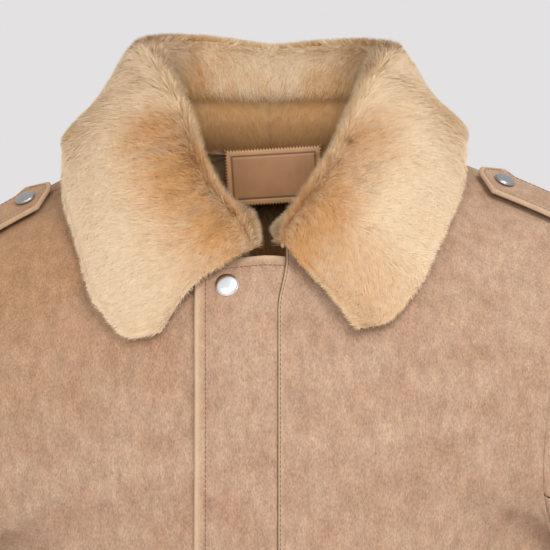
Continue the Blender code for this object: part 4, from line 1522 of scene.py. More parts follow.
@dataclass
class Sleeve(Maker):
    """A sleeve of an upper and an under piece. Its head runs on a little way under the armhole's edge."""

    side: Side
    hide: Hide = field(default_factory=lambda: Hide(thickness=0.0020))
    rings: tuple = (
        (-0.335, 0.2925, -0.0010, 0.0565, 0.0800),
        (-0.430, 0.2970, -0.0060, 0.0545, 0.0730),
        (-0.560, 0.2980, -0.0240, 0.0490, 0.0630),
        (-0.690, 0.2950, -0.0460, 0.0440, 0.0530),
    )
    squareness: float = 2.3
    cap_rows: int = 26
    arm_step: float = 0.0068
    leaves: tuple[float, float, float] = (1.0, 0.0, -0.28)
    cap_pull: float = 0.60
    gap: float = 0.0007
    underarm_gap: float = 0.0026
    seam_front: float = -28.0
    seam_back: float = 206.0
    seam_gap: float = 0.40
    cuff: float = 0.0220
    cuff_rows: float = 0.0255
    ripple: float = 0.0006
    ripple_cell: float = 0.030
    calm: tuple[float, float] = (0.03, 0.05)
    tuck_shares: tuple[float, float] = (0.965, 0.985)
    tuck_gap: float = 0.0016
    tuck: tuple[float, float] = (0.0030, 0.0060)
    end_degrees: tuple[float, ...] = (0.0, 0.3, 0.8, 1.6, 3.2)
    # height, degrees round, how far it stands out, half height, half width in degrees
    folds: tuple = (
        (-0.385, 0.0, -0.0060, 0.020, 50.0),
        (-0.440, -10.0, -0.0070, 0.018, 60.0),
        (-0.500, 10.0, -0.0050, 0.020, 48.0),
        (-0.450, 160.0, 0.0050, 0.034, 50.0),
        (-0.620, 50.0, -0.0045, 0.020, 60.0),
    )
    # start (metres round, z), end (metres round, z), half width, height. Round: 0 in front, 0.1 outermost
    creases: tuple = (
        (-0.020, -0.402, 0.070, -0.424, 0.0075, 0.0024),
        (-0.030, -0.456, 0.060, -0.480, 0.0070, 0.0026),
        (-0.016, -0.524, 0.076, -0.512, 0.0080, 0.0020),
        (0.040, -0.424, 0.120, -0.470, 0.0090, -0.0020),
        (0.090, -0.500, 0.180, -0.474, 0.0085, -0.0021),
        (0.120, -0.440, 0.200, -0.412, 0.0080, 0.0018),
        (0.010, -0.596, 0.090, -0.628, 0.0090, 0.0017),
        (0.100, -0.640, 0.190, -0.604, 0.0085, -0.0016),
        (0.060, -0.180, 0.074, -0.300, 0.0120, -0.0018),
        (0.130, -0.190, 0.124, -0.330, 0.0130, 0.0017),
        (0.020, -0.230, 0.036, -0.340, 0.0110, 0.0014),
        (0.176, -0.230, 0.160, -0.330, 0.0110, -0.0016),
        (-0.060, -0.390, -0.020, -0.372, 0.0080, -0.0020),
        (-0.080, -0.450, -0.036, -0.436, 0.0080, 0.0018),
    )

    def under_armhole(self, degrees: Array, shares: tuple[float, ...]) -> tuple[Array, Array]:
        """Points of the body near its armhole, at shares of the way round it, and its inward directions.

        Args:
            degrees: places round the sleeve.
            shares: shares of the way round the body.

        Returns:
            The points and the directions, a row for each share.
        """
        form = self.form
        parts = []
        for lines, first, last, at in (
            (form.front_lines, form.row_underarm, form.shoulder_front, np.clip((degrees + 90) / 180, 0, 1)),
            (form.back_lines, form.shoulder_back, form.row_underarm, np.clip((degrees - 90) / 180, 0, 1)),
        ):
            dense = np.linspace(first, last, 400)
            edge = form.read(lines, dense)[1]
            length = length_along(edge)
            rows = np.interp(at * length[-1], length, dense)
            parts.append(form.grid(lines, rows, np.tile(shares, (len(rows), 1))))
        points = np.where(degrees[:, None, None] <= 90, parts[0], parts[1])
        middle = np.array([0.12, 0.0, -0.16])
        inwards = unit(middle - points) * np.array([0.35, 1.0, 1.0])
        return points.transpose(1, 0, 2), unit(inwards).transpose(1, 0, 2)

    def arm(self, heights: Array, degrees: Array) -> Array:
        """Rings of the arm below the cap: rounded squares, |x|^p + |y|^p = 1 with p = squareness.

        Args:
            heights: one for each ring.
            degrees: places round the sleeve.

        Returns:
            The grid of points at +X.
        """
        table = [ring[1:] for ring in self.rings][::-1]
        x, y, half_width, half_depth = smooth_table([ring[0] for ring in self.rings][::-1], table, heights).T
        sine, cosine = np.sin(np.radians(degrees)), np.cos(np.radians(degrees))
        power = 2 / self.squareness
        ring = np.zeros((len(heights), len(degrees), 3))
        ring[..., 0] = x[:, None] + half_width[:, None] * np.sign(sine) * np.abs(sine) ** power
        ring[..., 1] = y[:, None] - half_depth[:, None] * np.sign(cosine) * np.abs(cosine) ** power
        ring[..., 2] = heights[:, None]
        return ring

    def grid(self, degrees: Array) -> Array:
        """Inner face at +X, from under the armhole's edge to the cuff.

        Between the armhole and the arm's first ring it is a cubic that leaves the armhole along
        `leaves` and meets the arm going straight down.

        Args:
            degrees: places round the sleeve.

        Returns:
            The grid of points.
        """
        top, bottom = self.rings[0][0], self.rings[-1][0]
        count = int(round((top - bottom) / self.arm_step))
        heights = np.linspace(top, bottom + self.cuff_rows, count)
        heights = np.concatenate([heights, bottom + np.array(HEM_MARKS[::-1])])
        arm = self.arm(heights, degrees)
        edge = self.form.armhole(degrees)
        low = (1 - np.sin(np.radians(degrees))) / 2
        edge[:, 0] += self.gap + self.underarm_gap * low**2
        reach = np.linalg.norm(arm[0] - edge, axis=1)[:, None]
        leaves = reach * self.cap_pull * np.array(self.leaves)
        meets = reach * np.array([0.0, 0.0, -1.0])
        t = (np.linspace(0.0, 1.0, self.cap_rows + 1)[:-1] ** 1.25)[:, None, None]
        cap = (1 + 2 * t) * (1 - t) ** 2 * edge + t * (1 - t) ** 2 * leaves
        cap = cap + t * t * (3 - 2 * t) * arm[0] + t * t * (t - 1) * meets
        grid = np.concatenate([cap, arm])
        push = sum(
            depth * bump(grid[..., 2], height, half_height)
            * bump((degrees - angle + 180) % 360, 180, half_angle)
            for height, angle, depth, half_height, half_angle in self.folds
        )
        round_it = np.broadcast_to(degrees / 90 * 0.1, push.shape)
        fine = crease(round_it, grid[..., 2], self.creases)
        fine += self.ripple * value_noise(round_it + 1, grid[..., 2], self.ripple_cell, 57 + self.side.sign)
        down, up = edge_distance(grid)[:2]
        push = push + fine * ease(down / self.calm[0]) * ease(up / self.calm[1])
        out = np.stack([np.sin(np.radians(degrees)), -np.cos(np.radians(degrees)), 0 * degrees], axis=-1)
        grid = grid + out * push[..., None]
        body, inwards = self.under_armhole(degrees, self.tuck_shares)
        return np.concatenate([body + inwards * self.tuck_gap, grid])

    def build(self) -> None:
        """Builds both pieces of the sleeve."""
        spans = {
            "upper": (self.seam_front, self.seam_back, 44),
            "under": (self.seam_back + self.seam_gap, 360 + self.seam_front - self.seam_gap, 24),
        }
        sign, word = self.side.sign, self.side.word
        for part, (first, last, columns) in spans.items():
            ends = np.array(self.end_degrees)
            middle = np.linspace(first + ends[-1], last - ends[-1], columns)
            degrees = np.concatenate([first + ends[:-1], middle, last - ends[-2::-1]])
            degrees = np.where(degrees > 270, degrees - 360, degrees)
            grid = self.grid(degrees)
            facing = -normals(grid)
            if sign < 0:
                grid, facing = self.form.settle(mirrored(grid)), mirrored(facing)
            down, up = edge_distance(grid)[:2]
            tucked = ease((down - self.tuck[0]) / self.tuck[1])
            relief = hem_relief(up, self.cuff) - self.hide.thickness * 0.6 * (1 - tucked)
            wall = Wall()
            outer = self.hide.add(wall, grid, facing, sign > 0, "blr", "b", relief)
            node = f"sleeve_{word}_{part}"
            self.sew(wall, f"{node}_suede", node, flat_size(grid), (f"front_{word}_suede", "back_suede"))
            self.stitches.add(*line_from_edge(outer, facing, self.cuff, "b"))


# Fur


@dataclass
class Pelt:
    """A patch of pelt on which fur grows: a grid of roots, with what the fur does at each of them."""

    roots: Array
    facing: Array
    flow: Array
    depth: Array
    reach: Array
    warm: Array
    shade: Array
    loose: Array

    def part(self, rows: slice) -> "Pelt":
        """Some of its rows."""
        return Pelt(*(getattr(self, each.name)[rows] for each in fields(self)))

    def grow(self, count: int, seed: int, look: "FurLook") -> tuple[Array, dict[str, Array], Array]:
        """Strands of fur, spread evenly over the patch.

        Each strand is a narrow triangle. Its tip lies ahead by the reach, measured over the pelt in
        four steps and straight on past its edge, and stands off by the depth. Strands that grow close
        together turn, lean and colour alike, so that they lie in locks.

        Args:
            count: how many strands.
            seed: which set of random values.
            look: sizes of the strands.

        Returns:
            Their points, three a strand, the numbers that the finish reads and the directions in
            which they are shaded: partly as the pelt under them, so that the fur looks sleek.
        """
        chance = np.random.default_rng(seed)
        rows, columns = self.roots.shape[:2]
        a, b = np.diff(self.roots, axis=0)[:, :-1], np.diff(self.roots, axis=1)[:-1]
        area = np.linalg.norm(np.cross(a, b), axis=2).ravel()
        total = np.concatenate([[0.0], np.cumsum(area)])
        place = (np.arange(count) + chance.random(count)) / count * total[-1]
        quad = np.clip(np.searchsorted(total, place, side="right") - 1, 0, len(area) - 1)
        i, j = np.divmod(quad, columns - 1)
        start = np.stack([i + chance.random(count), j + chance.random(count)], axis=1)

        def at(grid: Array, place: Array = start) -> Array:
            """A grid's values at places counted in rows and columns, straight between four points.

            Args:
                grid: the values.
                place: the places, the strands' roots where none are given.

            Returns:
                The values at the places.
            """
            grid = grid.reshape(rows, columns, -1)
            i, j = np.clip(place.astype(int), 0, (rows - 2, columns - 2)).T
            s, t = (place - np.stack([i, j], axis=1)).T[..., None]
            return (
                (grid[i, j] * (1 - s) + grid[i + 1, j] * s) * (1 - t)
                + (grid[i, j + 1] * (1 - s) + grid[i + 1, j + 1] * s) * t
            )

        root, up, flow = at(self.roots), unit(at(self.facing)), at(self.flow)
        depth, reach, warm, shade, loose = (
            at(x)[:, 0] for x in (self.depth, self.reach, self.warm, self.shade, self.loose)
        )
        flow = unit(flow - up * (flow * up).sum(axis=1, keepdims=True))
        aside = np.cross(up, flow)
        round_it, over = (at(arc(self.roots, axis)[..., None])[:, 0] for axis in (0, 1))

        def lock(cell: float, number: int) -> Array:
            """Random values that neighbouring strands share."""
            return value_noise(round_it, over, cell, seed + number)

        turn = look.wave * lock(look.tuft * 3, 1) + look.curl * lock(look.tuft, 2)
        turn = (turn + chance.normal(0, look.stray, count)) * loose
        ahead = flow * np.cos(turn)[:, None] + aside * np.sin(turn)[:, None]
        side = np.cross(up, ahead)
        high = 1 + look.uneven * (lock(look.tuft * 2, 3) + lock(look.tuft * 0.8, 4))
        high = high + chance.uniform(-0.16, 0.06, count)
        far = reach * (1 + 2 * look.uneven * lock(look.tuft, 5) + chance.uniform(-0.35, 0.15, count))
        height = depth * high
        lines = [np.gradient(self.roots, axis=axis) for axis in (0, 1)]
        shares = np.stack([(unit(at(line)) * ahead).sum(axis=1) for line in lines], axis=1)
        place, past = start, 0.0
        for _ in range(4):
            lengths = np.stack([np.linalg.norm(at(line, place), axis=1) for line in lines], axis=1)
            place = place + past + shares * far[:, None] / 4 / lengths
            inside = np.clip(place, 0, (rows - 1, columns - 1))
            place, past = inside, place - inside
        beyond = np.linalg.norm(past * lengths, axis=1, keepdims=True)
        tip_up = unit(at(self.facing, place))
        tip = at(self.roots, place) + ahead * beyond + tip_up * height[:, None]
        tip = tip + side * (chance.normal(0, 0.06, count) * far)[:, None]
        up = unit(up + tip_up)
        tilt = np.radians(chance.uniform(-look.tilt, look.tilt, count))[:, None]
        half = (side * np.cos(tilt) + up * np.sin(tilt)) * look.width / 2
        blade = np.cross(half, tip - root)
        outside = np.sign((blade * up).sum(axis=1, keepdims=True))
        half, blade = half * outside, unit(blade * outside)
        points = np.stack([root - half, root + half, tip], axis=1)
        warm = warm + look.streak * lock(look.tuft * 0.6, 6) * (0.3 + warm)
        warm = warm + 0.05 * chance.normal(0, 1, count)
        own = np.clip(0.5 + 0.20 * lock(look.tuft * 0.5, 7) + 0.16 * chance.normal(0, 1, count), 0, 1)
        values = {
            "along": np.tile([0.0, 0.0, 1.0], (count, 1)),
            "warm": np.repeat(np.clip(warm, 0, 1)[:, None], 3, axis=1),
            "own": np.repeat(own[:, None], 3, axis=1),
            "shade": np.repeat(np.clip(shade, 0, 1)[:, None], 3, axis=1),
        }
        shading = np.repeat(unit(up * look.sleek + blade * (1 - look.sleek)), 3, axis=0)
        return points.reshape(-1, 3), values, shading


@dataclass(frozen=True)
class FurLook:
    """Sizes of strands of fur: their width, their locks, and how far they wave, curl and stray."""

    width: float = 0.00042
    tuft: float = 0.0036
    wave: float = 0.16
    curl: float = 0.20
    stray: float = 0.20
    tilt: float = 35.0
    uneven: float = 0.05
    streak: float = 0.26
    sleek: float = 0.82


def grow_fur(name: str, pelts: list[Pelt], count: int, seed: int, look: FurLook,
             material: bpy.types.Material) -> None:
    """One piece of joined strands, grown on one or more patches.

    Args:
        name: the piece's name.
        pelts: the patches.
        count: how many strands grow on each.
        seed: which set of random values.
        look: sizes of the strands.
        material: their finish.
    """
    grown = [pelt.grow(count, seed, look) for pelt in pelts]
    points, shading = (np.concatenate([each[k] for each in grown]) for k in (0, 2))
    values = {key: np.concatenate([each[1][key].ravel() for each in grown]) for key in grown[0][1]}
    faces = [np.arange(len(points)).reshape(-1, 3)]
    dress(add_mesh(name, points, faces, [material], values=values, shading=shading), Slot.FUR)


@dataclass
class CollarForm:
    """The pelt of the collar: its form, the depth of its fur and where the stand ends."""

    form: BodyForm
    across: tuple[float, ...] = (0.0, 0.20, 0.42, 0.68, 1.0)
    # share round the collar, then in millimetres: seam to the stand, fold, middle and edge of the leaf
    sections: tuple = (
        (0.00, (0, 86, 33), (0, 99, 65), (0, 117, 24), (0, 109, -48)),
        (0.16, (48, 76, 34), (55, 88, 69), (79, 103, 29), (92, 93, -46)),
        (0.30, (78, 42, 31), (89, 46, 63), (114, 58, 28), (142, 54, -19)),
        (0.42, (80, 9, 24), (75, 12, 40), (112, 10, 19), (148, 0, -14)),
        (0.54, (74, -23, 2), (63, -21, 12), (104, -34, 1), (142, -47, -42)),
        (0.68, (60, -57, -24), (50, -55, -16), (89, -77, -36), (126, -80, -78)),
        (0.84, (38, -85, -54), (31, -85, -45), (65, -103, -71), (105, -105, -118)),
        (0.93, (18, -99, -71), (16, -101, -66), (48, -113, -98), (83, -117, -139)),
        (1.00, (8, -102, -81), (10, -107, -79), (35, -115, -105), (64, -122, -141)),
    )
    # what the broader leaf at -X adds to each of them: outwards, back and up
    right: tuple = (
        (0.00, (0, 0, 0), (0, 0, 1), (0, 0, 0), (0, 0, 0)),
        (0.16, (0, 0, 0), (0, 0, 3), (0, 0, 0), (0, 0, 0)),
        (0.30, (0, 0, 0), (2, 0, 4), (4, 0, 3), (4, 0, 2)),
        (0.42, (0, 0, 0), (0, 0, 1), (4, 0, 2), (6, 0, 2)),
        (0.54, (0, 0, 0), (-1, 0, 0), (5, 0, 1), (8, 1, 2)),
        (0.68, (2, 0, 0), (3, 0, 0), (8, 1, 1), (12, 3, 1)),
        (0.84, (3, 0, 0), (7, 0, 1), (11, 2, 0), (21, 3, -2)),
        (0.93, (2, 0, 2), (6, 0, 4), (9, 1, 0), (13, 2, -4)),
        (1.00, (0, 0, 0), (2, 0, -1), (5, 0, -4), (6, 1, 2)),
    )
    rise: float = 0.0024
    inside: float = 0.0018
    skin: float = 0.0024
    pile: float = 0.0105
    stand_pile: float = 0.0060
    pile_seam: float = 0.10
    pile_round: float = 0.20
    front_round: float = 0.10
    front_least: float = 0.35
    stand_full: float = 0.40
    stand_end: float = 0.64
    stand_gap: float = 0.0005

    def surface(self, side: int, shares: Array, across: Array) -> Array:
        """Points of the pelt, at shares round the collar and, for each of them, shares across it.

        Args:
            side: the sign of X.
            shares: shares round the collar.
            across: shares across it, for each of them or for all.

        Returns:
            The grid of points.
        """
        keys = np.array([row[0] for row in self.sections])
        points = np.array([row[1:] for row in self.sections]) / 1000
        if side < 0:
            points = points + np.array([row[1:] for row in self.right]) / 1000
        at = smooth_table(keys, points.reshape(len(keys), -1), shares).reshape(len(shares), -1, 3)
        seam = self.form.neck_edge(shares)
        seam[:, :2] *= 1 - self.inside / np.linalg.norm(seam[:, :2], axis=1, keepdims=True)
        seam[:, 2] += self.rise
        at = np.concatenate([seam[:, None], at], axis=1)
        across = np.broadcast_to(across, (len(shares), across.shape[-1]))
        return curve(np.array(self.across), at, across) * np.array([side, 1.0, 1.0])

    def facing(self, side: int, shares: Array, across: Array, step: float = 0.002) -> Array:
        """Directions in which the fur stands off the pelt.

        Args:
            side: the sign of X.
            shares: shares round the collar.
            across: for each of them, shares across it.
            step: the share over which slopes are read.

        Returns:
            Unit vectors.
        """
        before, after = np.maximum(shares - step, 0.0), np.minimum(shares + step, 1.0)
        below, above = np.maximum(across - step, 0.0), np.minimum(across + step, 1.0)
        round_it = self.surface(side, after, across) - self.surface(side, before, across)
        across_it = self.surface(side, shares, above) - self.surface(side, shares, below)
        return side * unit(np.cross(round_it, across_it))

    def stand_top(self, shares: Array) -> Array:
        """Share of the way across at which the stand meets the collar, which runs out in front."""
        return self.across[1] * (1 - ease((shares - self.stand_full) / (self.stand_end - self.stand_full)))

    def depth(self, shares: Array, across: Array) -> Array:
        """Depth of the fur: shallow at the stand, rounded off at the leaf's edge and its front end.

        Args:
            shares: shares round the collar.
            across: for each of them, shares across it.

        Returns:
            The depths.
        """
        to_edge = np.clip((across - 1 + self.pile_round) / self.pile_round, 0, 1)
        to_front = np.clip((shares - 1 + self.front_round) / self.front_round, 0, 1)[:, None]
        front = np.maximum(np.sqrt(1 - to_front**2), self.front_least)
        from_seam = ease((across - self.stand_top(shares)[:, None]) / self.pile_seam)
        return (self.stand_pile + (self.pile - self.stand_pile) * from_seam) * np.sqrt(1 - to_edge**2) * front

    def own_side(self, points: Array, side: int) -> Array:
        """Keeps a half of the collar on its own side of the centre seam.

        Args:
            points: its points.
            side: the sign of X.

        Returns:
            The points.
        """
        points = np.array(points)
        points[..., 0] = side * np.maximum(side * points[..., 0], self.form.seam_gap / 2)
        return points


@dataclass(frozen=True)
class Lie:
    """Where each point of half a collar lies, with the regions that its fur is combed and toned by."""

    share: Array  # round the collar: 0 at the centre back, 1 in front
    across: Array  # across it: 0 at the neck seam, 0.42 at the fold, 1 at the leaf's edge
    top: Array  # the share across at which the stand ends
    to_edge: Array  # metres to the leaf's edge
    to_front: Array  # metres to the leaf's front end

    @property
    def parting(self) -> Array:
        """Share across at which the fur parts: outside the fold at the back, well inside it in front."""
        return 0.56 - 0.42 * ease((self.share - 0.26) / 0.14)

    @property
    def leaf(self) -> Array:
        """1 on the leaf and 0 on the inner roll."""
        return ease((self.across - 0.42) / 0.15)

    @property
    def inner(self) -> Array:
        """1 inside the parting and 0 outside it."""
        return 1 - ease((self.across - self.parting) / 0.05)

    @property
    def erect(self) -> Array:
        """1 where the fur stands up: along the fold, and behind it at the throat."""
        throat = 0.8 * ease((self.share - 0.80) / 0.12) * ease((0.46 - self.across) / 0.06)
        return np.maximum(bump(self.across, 0.41, 0.07), throat)


@dataclass(frozen=True)
class LeafLook:
    """What differs between the two leaves of the collar."""

    drift: tuple[float, float, float, float]  # how the fur leans to the back: at first, gain, from, over
    band: tuple[float, float]  # the honey band's half width across, and its strength
    pale_nape: float  # how much paler the roll is beside the centre back
    warm_front: float  # how much warmer the front end is
    let_out: float  # how far the edge's front end is let out again
    notch: float  # how far the front end is cut back in the middle, in metres
    corner: float  # how far it is let out at the fold, in metres


LEAVES = {
    Side.LEFT: LeafLook((0.50, -1.60, 0.80, 0.10), (0.09, 0.75), 0.12, 0.34, 0.0, 0.0, 0.0),
    Side.RIGHT: LeafLook((0.12, 0.26, 0.50, 0.30), (0.12, 1.00), 0.20, 0.0, 0.025, 0.0090, 0.0075),
}


@dataclass
class CollarHalf(Maker):
    """Half of the fur collar: a pelt with a fleece of real strands."""

    side: Side
    shape: CollarForm
    look: FurLook = field(default_factory=FurLook)
    strands: int = 100000
    stations: int = 90
    columns: tuple[int, int, int] = (15, 15, 28)  # inside the fold, round it and on the leaf
    under_fur: float = 0.66
    over_skin: float = 0.24
    root_depth: float = 0.92
    reach: float = 0.0085
    fringe: float = 0.0068
    fold_rise: float = 1.10
    fold_shorter: float = 0.45
    drawn_in: float = 0.040
    puff: float = 0.0050
    drawn_back: float = 0.011
    edge_round: float = 0.009
    turn_half: float = 0.030
    nose: tuple[float, float] = (0.45, 0.28)  # fullness of the fold, at the back and in front

    def pelt(self, shares: Array, across: Array) -> Pelt:
        """The patch of pelt, with the flow and the tones of its fur.

        Args:
            shares: shares round the collar.
            across: for each of them, shares across it.

        Returns:
            The patch. Its roots lie just under the surface of the dense under fur.
        """
        shape, side = self.shape, self.side.sign
        skin, facing, offset = self.laid(shares, across)
        roots = shape.form.settle(shape.own_side(skin + facing * (offset * self.root_depth)[..., None], side))
        _, to_front, _, to_edge = edge_distance(skin)
        share = np.broadcast_to(shares[:, None], across.shape)
        lie = Lie(share, across, shape.stand_top(shares)[:, None], to_edge, to_front)
        over, forward, reach, loose = self.combed(lie)
        flow = unit(np.gradient(roots, axis=1)) * over[..., None]
        flow = flow + unit(np.gradient(skin, axis=0)) * forward[..., None]
        rise = 1 + self.fold_rise * lie.erect * (0.4 + 0.6 * ease((share - 0.3) / 0.1))
        depth = (shape.skin + self.over_skin * shape.depth(shares, across)) * rise
        warm, shade = self.toned(lie)
        return Pelt(roots, facing, flow, depth, reach, warm, shade, loose)

    def combed(self, lie: Lie) -> tuple[Array, Array, Array, Array]:
        """How the fur is combed.

        It flows away from the parting, to the leaf's edge and to the stand, and leans to the back or
        the front on its way. Towards its edges it gets shorter. It is loose where the flow turns
        round, at the centre seam and at the edges.

        Args:
            lie: where the points lie.

        Returns:
            The flow across, the flow to the front, the reach and the looseness.
        """
        over = -1.0 + 2.0 * ease((lie.across - lie.parting + 0.05) / 0.10)
        throat = ease((lie.share - 0.88) / 0.12) * ease((0.75 - lie.across) / 0.3)
        first, gain, start, length = LEAVES[self.side].drift
        backward = (first + gain * ease((lie.share - start) / length)) * ease((lie.share - 0.4) / 0.1)
        fringe = np.exp(-lie.to_front / 0.004) * lie.leaf
        forward = (0.30 * bump(lie.share, 0.40, 0.12) - backward) * lie.leaf + 1.2 * throat + fringe
        reach = np.minimum(self.reach, self.fringe + 0.8 * lie.to_edge)
        reach = np.minimum(reach, self.fringe + 0.5 * lie.to_front + 0.003 * throat)
        reach = reach * (1 - self.fold_shorter * lie.erect)
        loose = 1 - 0.55 * lie.inner + 5 * (1 - np.abs(over)) + 1.5 * fringe + 3.6 * lie.erect
        loose = loose + 2.5 * np.exp(-lie.share / 0.025) + 0.9 * np.exp(-lie.to_edge / 0.006)
        loose = loose + 2.0 * np.exp(-lie.to_front / 0.005) * ease((0.66 - lie.across) / 0.2)
        return over, forward, reach, loose

    def toned(self, lie: Lie) -> tuple[Array, Array]:
        """How warm and how shaded the fur is.

        A honey-coloured band lies just outside the fold, and the inner roll turns honey on its way
        down to the stand. The rest is cream, with soft patches all over. Painted light makes the lip
        just inside the fold paler, and painted shade darkens the fur along the seam to the stand and on
        the inner roll at the shoulder corner. In the honey band the shade also carries the fur's own
        darker locks.

        Args:
            lie: where the points lie.

        Returns:
            The warmth and the shade, 0 to 1; the shade is painted shade, with the band's darker locks.
        """
        look, share, across = LEAVES[self.side], lie.share, lie.across
        width, strength = look.band
        band = strength * bump(across, 0.53, width) * ease((share - 0.46) / 0.14)
        patches, blotch = (
            value_noise(share * 0.35, across * 0.17, cell, seed + self.side.sign)
            for cell, seed in ((0.020, 11), (0.007, 17))
        )
        down = np.clip((0.40 - across) / np.maximum(0.40 - lie.top, 0.05), 0, 1)
        roll = 0.06 + 0.60 * down**1.2 - look.pale_nape * bump(share, 0.03, 0.09)
        roll = roll + 0.30 * bump(share, 0.20, 0.05) + 0.25 * ease((share - 0.22) / 0.12)
        roll = roll * (1 - ease((share - 0.36) / 0.10))
        warm = 0.10 + 0.85 * band - 0.03 * ease((across - 0.70) / 0.2)
        warm = warm + look.warm_front * ease((share - 0.78) / 0.10)
        warm = warm * (1 - lie.inner) + roll * lie.inner
        warm = warm + (0.20 * patches + 0.15 * blotch) * (0.30 + band + lie.inner)
        # painted light: the lip just inside the fold is turned paler cream, where its crest catches the light
        warm = warm - 0.35 * bump(across, 0.36, 0.07) * ease((share - 0.45) / 0.1)
        # painted shadow along the seam to the stand, under the overhanging roll; in the honey band, the fur's
        # own darker locks
        shade = 0.50 * bump(across, lie.top, 0.03) + 0.50 * band * np.maximum(patches * blotch, 0)
        # painted shade on the inner roll at the shoulder corner
        return warm, shade + 0.30 * lie.inner * bump(share, 0.29, 0.08)

    def laid(self, shares: Array, across: Array) -> tuple[Array, Array, Array]:
        """The skin, the directions off it and how far off it the dense under fur ends.

        The under fur is a share of the depth of the fur, and is rounded off as a quarter circle at
        the leaf's edge and at its front end. Round the fold, where the skin turns back on itself,
        the directions turn with it as a half ellipse: by sine and cosine of the place within
        `turn_half` of the fold, with `nose` as the share of the depth that is left ahead of it.

        Args:
            shares: shares round the collar.
            across: for each of them, shares across it.

        Returns:
            Points, directions and distances in metres.
        """
        shape, side, look = self.shape, self.side.sign, LEAVES[self.side]
        skin, facing = shape.surface(side, shares, across), shape.facing(side, shares, across)
        pull = look.notch * bump(across, 0.70, 0.26) - look.corner * bump(across, 0.44, 0.14)
        pull = pull * (1 - ease(edge_distance(skin)[1] / 0.035))
        skin = skin - unit(np.gradient(skin, axis=0)) * pull[..., None]
        near = np.minimum(edge_distance(skin)[3], edge_distance(skin)[1])
        rounded = np.sqrt(1 - (1 - np.clip(near / self.edge_round, 0, 1)) ** 2)
        share = np.broadcast_to(shares[:, None], across.shape)
        behind = ease((0.42 - across) / 0.20) * ease((share - 0.34) / 0.12)
        puff = self.puff * bump(share, 0.37, 0.09) * bump(across, 0.86, 0.16)
        under = self.under_fur * shape.depth(shares, across) * (1 - 0.80 * behind)
        offset = shape.skin / 2 + (under + puff) * rounded
        fold, half = shape.across[2], self.turn_half
        before, after = (shape.facing(side, shares, np.array([[fold + step]])) for step in (-half, half))
        line = [shape.surface(side, shares, np.array([[fold + step]])) for step in (-half, 0.0, half)]
        ahead = unit(line[1] - (line[0] + line[2]) / 2)
        turn = np.clip((across - fold) / half, -1, 1) * math.pi / 2
        sine, cosine = np.sin(turn)[..., None], np.cos(turn)[..., None]
        blunt = (self.nose[0] + (self.nose[1] - self.nose[0]) * ease((share - 0.2) / 0.2))[..., None]
        turned = before * np.maximum(-sine, 0) + after * np.maximum(sine, 0) + ahead * cosine * blunt
        inside = np.abs(turn) < math.pi / 2
        facing = np.where(inside[..., None], unit(turned), facing)
        return skin, facing, offset * np.where(inside, np.linalg.norm(turned, axis=-1), 1.0)

    def places(self) -> tuple[Array, Array]:
        """Where the pelt's points lie: even round the collar, and close together round the fold.

        Returns:
            Shares round the collar and, for each of them, shares across it.
        """
        shape, side = self.shape, self.side.sign
        shares = np.linspace(0.0, 1.0, self.stations)
        top = shape.stand_top(shares)[:, None]
        per_share = np.linalg.norm(
            shape.surface(side, shares, top + 0.01) - shape.surface(side, shares, top), axis=-1
        ) / 0.01
        low = top + shape.stand_gap / per_share / 2
        fold, half = shape.across[2], self.turn_half
        inner, bend, outer = self.columns
        across = np.concatenate([
            low + (fold - half - low) * np.linspace(0.0, 1.0, inner + 1)[:-1],
            np.tile(fold + half * np.linspace(-1.0, 1.0, bend), (len(shares), 1)),
            np.tile(fold + half + (1 - fold - half) * np.linspace(0.0, 1.0, outer + 1)[1:], (len(shares), 1)),
        ], axis=1)
        drawn_in = self.drawn_in + 0.02 * bump(shares, 0.40, 0.10)
        drawn_in = drawn_in - LEAVES[self.side].let_out * ease((shares - 0.86) / 0.1)
        across = across - drawn_in[:, None] * ease((across - 0.42) / 0.58) ** 2
        return shares * (1 - self.drawn_back), across

    def build(self) -> None:
        """Builds the pelt, and its fur in a back and a front piece."""
        shape, side, fur = self.shape, self.side.sign, self.finishes.collar_fur
        shares, across = self.places()
        skin, facing, offset = self.laid(shares, across)
        outer = shape.form.settle(shape.own_side(skin + facing * offset[..., None], side))
        inner = shape.form.settle(shape.own_side(skin - facing * shape.skin / 2, side))
        patch = self.pelt(shares, across)
        wall = Wall()
        # painted shade: the under fur beneath the strands is shaded 0.15 deeper than they are
        warm, shade = np.clip(patch.warm, 0, 1), np.clip(patch.shade + 0.15, 0, 1)
        wall.add(inner, outer, side > 0, along=0.45, warm=warm, own=0.45, shade=shade)
        node = f"collar_{self.side.word}"
        self.sew(wall, f"{node}_pelt", node, flat_size((inner + outer) / 2)[::-1], ("collar_stand_pelt",),
                 "folded", Slot.FUR, fur, self.finishes.suede)
        half = self.stations // 2
        for number, (part, rows) in enumerate((("back", slice(0, half + 1)), ("front", slice(half, None)))):
            grow_fur(f"{node}_fur_{part}", [patch.part(rows)], self.strands, 100 * side + 300 + number,
                     self.look, fur)


